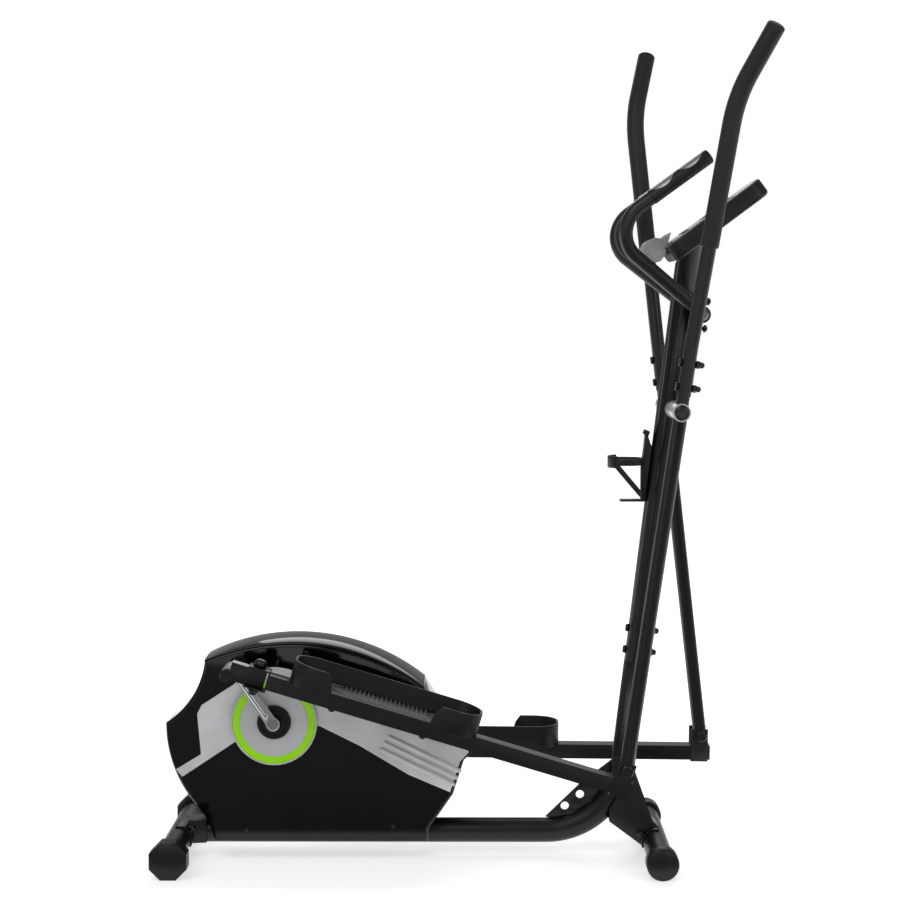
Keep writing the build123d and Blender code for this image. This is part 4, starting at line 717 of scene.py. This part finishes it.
@dataclass
class SwingUnit(SubAssembly):
    """Swing arm with its sleeve, handle and foam grip, for one side."""

    side: Side = Side.RIGHT
    arm_y: float = 180.0
    grip_od: float = 36.0
    handle_od: float = 28.0
    grip_start: float = 322.0
    low_bend: tuple[float, float, float] = (0.0, 130.0, 0.0)
    bend: tuple[float, float, float] = (6.0, 608.0, 65.0)
    top: tuple[float, float, float] = (52.0, 739.0, 125.0)
    bend_radius: float = 250.0
    roll: float = 3.0
    cap: float = 6.0

    def build(self) -> None:
        """Make the arm's pieces."""
        word, body = self.side.word, f"swing_{self.side.word}"
        pivot = joint_place(f"swing_{word}_hinge")
        lower = joint_place(f"pedal_{word}_hinge")
        lean = math.atan2(pivot.x - lower.x, pivot.z - lower.z)
        self.ease(f"swing_arm_{word}", POWDER_COAT, 0)
        self.ease(f"upper_handle_{word}", POWDER_COAT, 0)
        self.ease(f"pivot_sleeve_{word}", SATIN_PAINT, 0.6)
        self.ease(f"arm_hardware_{word}", BLACK_OXIDE, 0)
        grip = self.place(f"foam_grip_{word}_soft", self._grip(pivot, lean), GRIP_FOAM, body,
                          f"foam_grip_{word}")

    def _point(self, pivot: Vector, lean: float, spot: tuple[float, float, float]) -> Vector:
        """Point given ahead of, above and outside the pivot in the arm's own frame.

        Args:
            pivot: Pivot of the arm, in metres.
            lean: The arm's lean, in radians.
            spot: Place ahead of, above and outside the arm's line, in millimetres.

        Returns:
            The point, in metres.
        """
        ahead, up, out = (value * MM for value in spot)
        return Vector((pivot.x + ahead * math.cos(lean) + up * math.sin(lean),
                       self.side.value * (self.arm_y * MM + out),
                       pivot.z - ahead * math.sin(lean) + up * math.cos(lean)))

    def _grip(self, pivot: Vector, lean: float) -> bpy.types.Mesh:
        """Foam tube along the handle, rolled in at its lower end and domed at its top.

        Args:
            pivot: Pivot of the arm, in metres.
            lean: The arm's lean, in radians.

        Returns:
            The closed grip.
        """
        low, bend, top = (self._point(pivot, lean, spot)
                          for spot in (self.low_bend, self.bend, self.top))
        share = (self.grip_start - self.low_bend[1]) / (self.bend[1] - self.low_bend[1])
        line = rounded_path([low.lerp(bend, share), bend, top], self.bend_radius * MM)
        out, full = (line[-1] - line[-2]).normalized(), self.grip_od / 2 * MM
        inner = (self.handle_od / 2 - 0.3) * MM
        start = (line[1] - line[0]).normalized()
        roll = self.roll * MM
        points, radii = [line[0]], [inner]
        for i in range(1, 7):
            turn = math.pi / 2 * i / 6
            points.append(line[0] + start * roll * (1 - math.cos(turn)))
            radii.append(full - roll + roll * math.sin(turn))
        points += line[1:]
        radii += [full] * (len(line) - 1)
        for i in range(1, 10):
            turn = math.pi / 2 * i / 9.2
            points.append(line[-1] + out * self.cap * MM * math.sin(turn))
            radii.append(full * math.cos(turn) ** 0.5)
        return swept_rod(f"foam_grip_{self.side.word}", points, radii)


@dataclass
class PedalUnit(SubAssembly):
    """Pedal bar with its foot tub, tread and joints, for one side."""

    side: Side = Side.RIGHT
    arm_y: float = 180.0
    tread_up: float = -11.0
    plate_back: float = -683.0
    plate_front: float = -302.0
    rib_spacing: float = 9.0
    rib_height: float = 1.6
    yoke_outer_y: float = 190.0
    rib_width: float = 3.0
    ribs: tuple[float, int, float] = (112.0, 19, 92.0)
    chevrons: tuple[float, int, float] = (30.0, 8, 42.0)
    chevron_front: float = 94.0
    chevron_offset: float = 21.0
    chevron_turn: float = 35.0
    joint_tube_r: float = 14.0
    tube_margin: float = 1.02
    # Least upward lean of a face whose silver is a painted highlight of light from above.
    facing_up: float = 0.8
    eye_r: float = 12.0
    tread: RepeatTree | None = None

    def build(self) -> None:
        """Make the bar's pieces."""
        word = self.side.word
        self.ease(f"pedal_bar_{word}", POWDER_COAT, 0.8)
        self.ease(f"pedal_hardware_{word}", BLACK_OXIDE, 0)
        self.ease(f"foot_plate_{word}", GRAINED_ABS, 1.2)
        self._yoke()
        # The tread's light grey is a painted highlight on black plastic.
        self.place(f"tread_{word}", self._tread(), PAINTED_HIGHLIGHT_TREAD_ABS, f"pedal_{word}")
        self._end_cap()

    def _frame(self) -> Matrix:
        """Matrix from the bar's own frame to the machine's, in metres.

        Returns:
            The matrix.
        """
        joints = {j["name"]: j for j in frame["joints"]}
        pivot = Vector(joints[f"pedal_{self.side.word}_hinge"]["pos_m"])
        axis = Vector(joints[f"yoke_{self.side.word}_swivel"]["axis"])
        slope = math.atan2(-axis.x, axis.z)
        return (Matrix.Translation((pivot.x, self.side.value * self.arm_y * MM, pivot.z))
                @ Matrix.Rotation(-slope, 4, "Y"))

    def _row(self, name: str, start: float, count: int, length: float, offset: float,
             turn: float) -> bpy.types.Mesh:
        """One row of tread bars, in the bar's own frame.

        Args:
            name: Name of the mesh.
            start: Place of the first bar along the pedal bar, in millimetres.
            count: Number of bars.
            length: Length of a bar, in millimetres.
            offset: Distance from the pedal bar's middle, in millimetres.
            turn: Turn of each bar about the upward axis, in degrees.

        Returns:
            The row.
        """
        mesh = self.tread.bake(name, {
            "Count": count, "Spacing": self.rib_spacing * MM, "Turn": math.radians(turn),
            "Bar size": (self.rib_width * MM, length * MM, 2 * self.rib_height * MM),
            "Material": PAINTED_HIGHLIGHT_TREAD_ABS.material()})
        mesh.transform(Matrix.Translation((start * MM, offset * MM, self.tread_up * MM)))
        return mesh

    def _tread(self) -> bpy.types.Mesh:
        """Cross ribs in the middle of the tub and chevrons towards both ends.

        Returns:
            All the rows as one mesh.
        """
        inset, count, length = self.ribs
        rows = [self._row("ribs", self.plate_back + inset, count, length, 0, 0)]
        inset, count, length = self.chevrons
        for start in (self.plate_back + inset, self.plate_front - self.chevron_front):
            for way in (-1, 1):
                rows.append(self._row("chevrons", start, count, length,
                                      way * self.chevron_offset, -way * self.chevron_turn))
        form = bmesh.new()
        for row in rows:
            form.from_mesh(row)
            bpy.data.meshes.remove(row)
        form.transform(self._frame())
        return to_mesh(form, f"tread_{self.side.word}")

    def _yoke(self) -> None:
        """Joint tube in silver, the tongue's upward faces in painted-highlight silver, its
        cheeks black.
        """
        yoke = self.ease(f"crank_yoke_{self.side.word}", SATIN_PAINT, 0)
        yoke.data.materials.append(POWDER_COAT.material())
        pin = self._pin()
        reach = self.joint_tube_r * MM * self.tube_margin
        for face in yoke.data.polygons:
            spots = [yoke.data.vertices[v].co for v in face.vertices]
            on_tube = all(math.hypot(p.x - pin.x, p.z - pin.z) < reach for p in spots)
            # Faces turned upwards keep the silver as a painted highlight of the light from
            # above.
            if not on_tube and face.normal.z < self.facing_up:
                face.material_index = 1

    def _end_cap(self) -> None:
        """Black cap with its recessed screw on the joint tube's outer end."""
        word = self.side.word
        profile = [(13.9, -1.5), (13.9, 3.6), (13.2, 4.9), (11.8, 5.6), (7.2, 5.6), (6.6, 5.2),
                   (6.6, 5.15), (3.2, 5.15), (0.01, 5.15), (0.01, -1.5)]
        mesh = lathe(f"yoke_cap_{word}", self._pin(), self.side, self.yoke_outer_y, profile, 64)
        self.place(f"yoke_cap_{word}", mesh, GRAINED_ABS, f"yoke_{word}")

    def _pin(self) -> Vector:
        """Centre of the crank pin, from the crank arm's box and the crank's centre.

        Returns:
            The centre, at the middle of the machine.
        """
        crank = joint_place("crank_spin")
        arm_low, arm_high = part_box(f"crank_arm_{self.side.word}")
        eye_r = self.eye_r * MM
        x = arm_low[0] + eye_r if crank.x - arm_low[0] > arm_high[0] - crank.x \
            else arm_high[0] - eye_r
        z = arm_low[2] + eye_r if crank.z - arm_low[2] > arm_high[2] - crank.z \
            else arm_high[2] - eye_r
        return Vector((x, 0, z))


@dataclass
class Cockpit(SubAssembly):
    """Console, tablet holder, fixed hand bar and bottle cage."""

    tip: tuple[float, float, float] = (484.0, 135.0, 1410.0)
    corner: tuple[float, float, float] = (285.0, 150.0, 1266.0)
    sleeve_r: float = 14.7
    plate_r: float = 15.4
    plate_spans: tuple[tuple[float, float], ...] = ((6.0, 66.0), (74.0, 132.0))
    plate_end_angle: float = 12.0
    plate_swell: float = 62.0

    def build(self) -> None:
        """Make the cockpit's pieces."""
        self.ease("console_housing", GRAINED_ABS, 1.2)
        self.ease("console_bezel", GRAPHITE_LACQUER, 0.8)
        self.ease("console_screen", DISPLAY_WINDOW, 0.4)
        for key in ("up_key", "mode_key", "down_key"):
            self.ease(key, KEY_SILICONE, 1.0)
        self.ease("tablet_holder", SMOKE_STYRENE, 0.8)
        self.ease("bottle_cage", GRAINED_ABS, 1.0)
        self.ease("bar_clamp", POWDER_COAT, 0.8)
        self.ease("pulse_bar", POWDER_COAT, 0)
        for side in Side:
            self._sensor(side)

    def _sensor(self, side: Side) -> None:
        """Black sleeve on the hand bar's end with two leaf-shaped contact plates.

        Args:
            side: Side of the machine.
        """
        tip = Vector((self.tip[0], side.value * self.tip[1], self.tip[2])) * MM
        corner = Vector((self.corner[0], side.value * self.corner[1], self.corner[2])) * MM
        inward = (corner - tip).normalized()
        spots = [-3.0, -2.6, -1.4, 0.0, 136.0, 138.0]
        radii = [self.sleeve_r - 3.4, self.sleeve_r - 1.6, self.sleeve_r - 0.4, self.sleeve_r,
                 self.sleeve_r, self.sleeve_r - 1.0]
        sleeve = swept_rod(f"sensor_sleeve_{side.word}", [tip + inward * s * MM for s in spots],
                           [r * MM for r in radii])
        self.place(f"sensor_sleeve_{side.word}", sleeve, GRAINED_ABS, "frame", "hand_sensors")
        form = bmesh.new()
        for start, end in self.plate_spans:
            self._leaf(form, tip, inward, start, end)
        plates = to_mesh(form, f"sensor_plates_{side.word}")
        self.place(f"sensor_plates_{side.word}", plates, SENSOR_STEEL, "frame", "hand_sensors")

    def _leaf(self, form: bmesh.types.BMesh, tip: Vector, inward: Vector, start: float,
              end: float) -> None:
        """Add one curved plate, widest at its middle, lying on the sleeve's upper side.

        Args:
            form: The bmesh that gets the plate.
            tip: End of the hand bar, in metres.
            inward: Direction from the tip along the bar.
            start: Start of the plate from the tip, in millimetres.
            end: End of the plate from the tip, in millimetres.
        """
        upward = (Vector((0, 0, 1)) - inward * inward.z).normalized()
        sideways = inward.cross(upward)
        rows, columns = 24, 16
        layers = []
        for radius in (self.sleeve_r - 0.3, self.plate_r):
            grid = []
            for i in range(rows + 1):
                t = i / rows
                spread = math.radians(self.plate_end_angle
                                      + self.plate_swell * math.sin(math.pi * t) ** 0.6)
                grid.append([form.verts.new(
                    tip + inward * (start + (end - start) * t) * MM
                    + (upward * math.cos(a) + sideways * math.sin(a)) * radius * MM)
                    for a in (spread * (2 * j / columns - 1) for j in range(columns + 1))])
            layers.append(grid)
        for grid in layers:
            for i in range(rows):
                for j in range(columns):
                    form.faces.new((grid[i][j], grid[i + 1][j], grid[i + 1][j + 1],
                                    grid[i][j + 1]))
        under, over = layers
        edge = ([(i, 0) for i in range(rows)] + [(rows, j) for j in range(columns)]
                + [(i, columns) for i in range(rows, 0, -1)]
                + [(0, j) for j in range(columns, 0, -1)])
        for (a, b), (c, d) in zip(edge, edge[1:] + edge[:1]):
            form.faces.new((under[a][b], under[c][d], over[c][d], over[a][b]))


@dataclass
class Studio:
    """Floor, lights and camera."""

    camera_at: tuple[float, float, float] = (0.024, -4.275, 1.100)
    pitch_down: float = 3.90
    yaw_left: float = 0.326
    lens: float = 82.6
    wall_light: float = 0.30
    floor_size: float = 60.0
    near_glow: float = 0.58
    far_glow: float = 0.95
    glow_span: tuple[float, float] = (0.8, 3.0)
    cloth_at: tuple[float, float, float] = (0.0, -2.22, 0.002)
    cloth_size: tuple[float, float, float] = (9.0, 3.9, 1.0)

    def build(self) -> None:
        """Set the stage."""
        self._floor()
        self._flag()
        self._world()
        self._lamp("key", (-1.6, -3.2, 3.6), 3.0, 60)
        self._lamp("fill", (2.6, -2.6, 2.4), 2.6, 26)
        self._lamp("back", (0.2, 3.0, 3.2), 3.0, 55)
        self._camera()

    def _floor(self) -> None:
        """Pale, slightly glossy studio floor."""
        material = bpy.data.materials.new("studio_floor")
        material.use_nodes = True
        shader = material.node_tree.nodes["Principled BSDF"]
        shader.inputs["Base Color"].default_value = linear_colour("f4f4f4")
        shader.inputs["Roughness"].default_value = 0.4
        shader.inputs["Emission Color"].default_value = linear_colour("ffffff")
        # The floor is lit up towards the horizon and keeps its shadows near the machine.
        place = add_node(material.node_tree, "ShaderNodeTexCoord").outputs["Object"]
        away = add_node(material.node_tree, "ShaderNodeVectorMath", {0: place},
                        operation="LENGTH").outputs["Value"]
        glow = add_node(material.node_tree, "ShaderNodeMapRange", {
            "Value": away, "From Min": self.glow_span[0], "From Max": self.glow_span[1],
            "To Min": self.near_glow, "To Max": self.far_glow})
        material.node_tree.links.new(glow.outputs["Result"],
                                     shader.inputs["Emission Strength"])
        bpy.ops.mesh.primitive_plane_add(size=self.floor_size)
        floor = bpy.context.object
        floor.name = "floor"
        floor.data.materials.append(material)

    def _flag(self) -> None:
        """Grey cloth on the floor in front, only there to be mirrored in the glossy covers."""
        material = bpy.data.materials.new("grey_flag")
        material.use_nodes = True
        shader = material.node_tree.nodes["Principled BSDF"]
        shader.inputs["Base Color"].default_value = linear_colour("a6a6a6")
        shader.inputs["Specular IOR Level"].default_value = 0.0
        bpy.ops.mesh.primitive_plane_add(size=1, location=self.cloth_at)
        flag = bpy.context.object
        flag.name, flag.scale = "grey_flag", self.cloth_size
        flag.visible_camera = flag.visible_diffuse = flag.visible_shadow = False
        flag.data.materials.append(material)

    def _world(self) -> None:
        """White surroundings."""
        world = bpy.data.worlds.new("studio")
        world.use_nodes = True
        background = world.node_tree.nodes["Background"]
        background.inputs["Color"].default_value = linear_colour("ffffff")
        # The white walls are seen at full strength and light the machine softly.
        seen = add_node(world.node_tree, "ShaderNodeLightPath").outputs["Is Camera Ray"]
        strength = add_node(world.node_tree, "ShaderNodeMapRange", {
            "Value": seen, "To Min": self.wall_light, "To Max": 1.0})
        world.node_tree.links.new(strength.outputs["Result"], background.inputs["Strength"])
        bpy.context.scene.world = world
        bpy.context.scene.view_settings.view_transform = "Standard"

    def _lamp(self, name: str, at: tuple[float, float, float], size: float,
              power: float) -> None:
        """Large soft lamp aimed at the machine's middle.

        Args:
            name: Name of the lamp.
            at: Its place, in metres.
            size: Its side, in metres.
            power: Its power, in watts.
        """
        data = bpy.data.lights.new(name, "AREA")
        data.size, data.energy = size, power
        lamp = bpy.data.objects.new(name, data)
        lamp.location = at
        lamp.rotation_euler = (Vector((0, 0, 0.8)) - lamp.location
                               ).to_track_quat("-Z", "Y").to_euler()
        bpy.context.scene.collection.objects.link(lamp)

    def _camera(self) -> None:
        """Camera square to the machine's right side, a little above its middle."""
        data = bpy.data.cameras.new("camera")
        data.lens, data.sensor_width = self.lens, 36.0
        camera = bpy.data.objects.new("camera", data)
        camera.location = self.camera_at
        camera.rotation_euler = (math.radians(90 - self.pitch_down), 0,
                                 math.radians(self.yaw_left))
        bpy.context.scene.collection.objects.link(camera)
        bpy.context.scene.camera = camera


def main() -> None:
    """Build the machine's looks."""
    logging.basicConfig(level=logging.INFO, format="%(name)s: %(message)s")
    Studio().build()
    tread = RepeatTree("tread_bars")
    assemblies: list[SubAssembly] = [BaseFrame(), Drive(), Shroud(), Cockpit()]
    for side in Side:
        assemblies += [SwingUnit(side=side), PedalUnit(side=side, tread=tread)]
    for assembly in assemblies:
        assembly.build()
        log.info("%s: %d pieces", type(assembly).__name__, len(assembly.pieces))


if __name__ == "__main__":
    main()
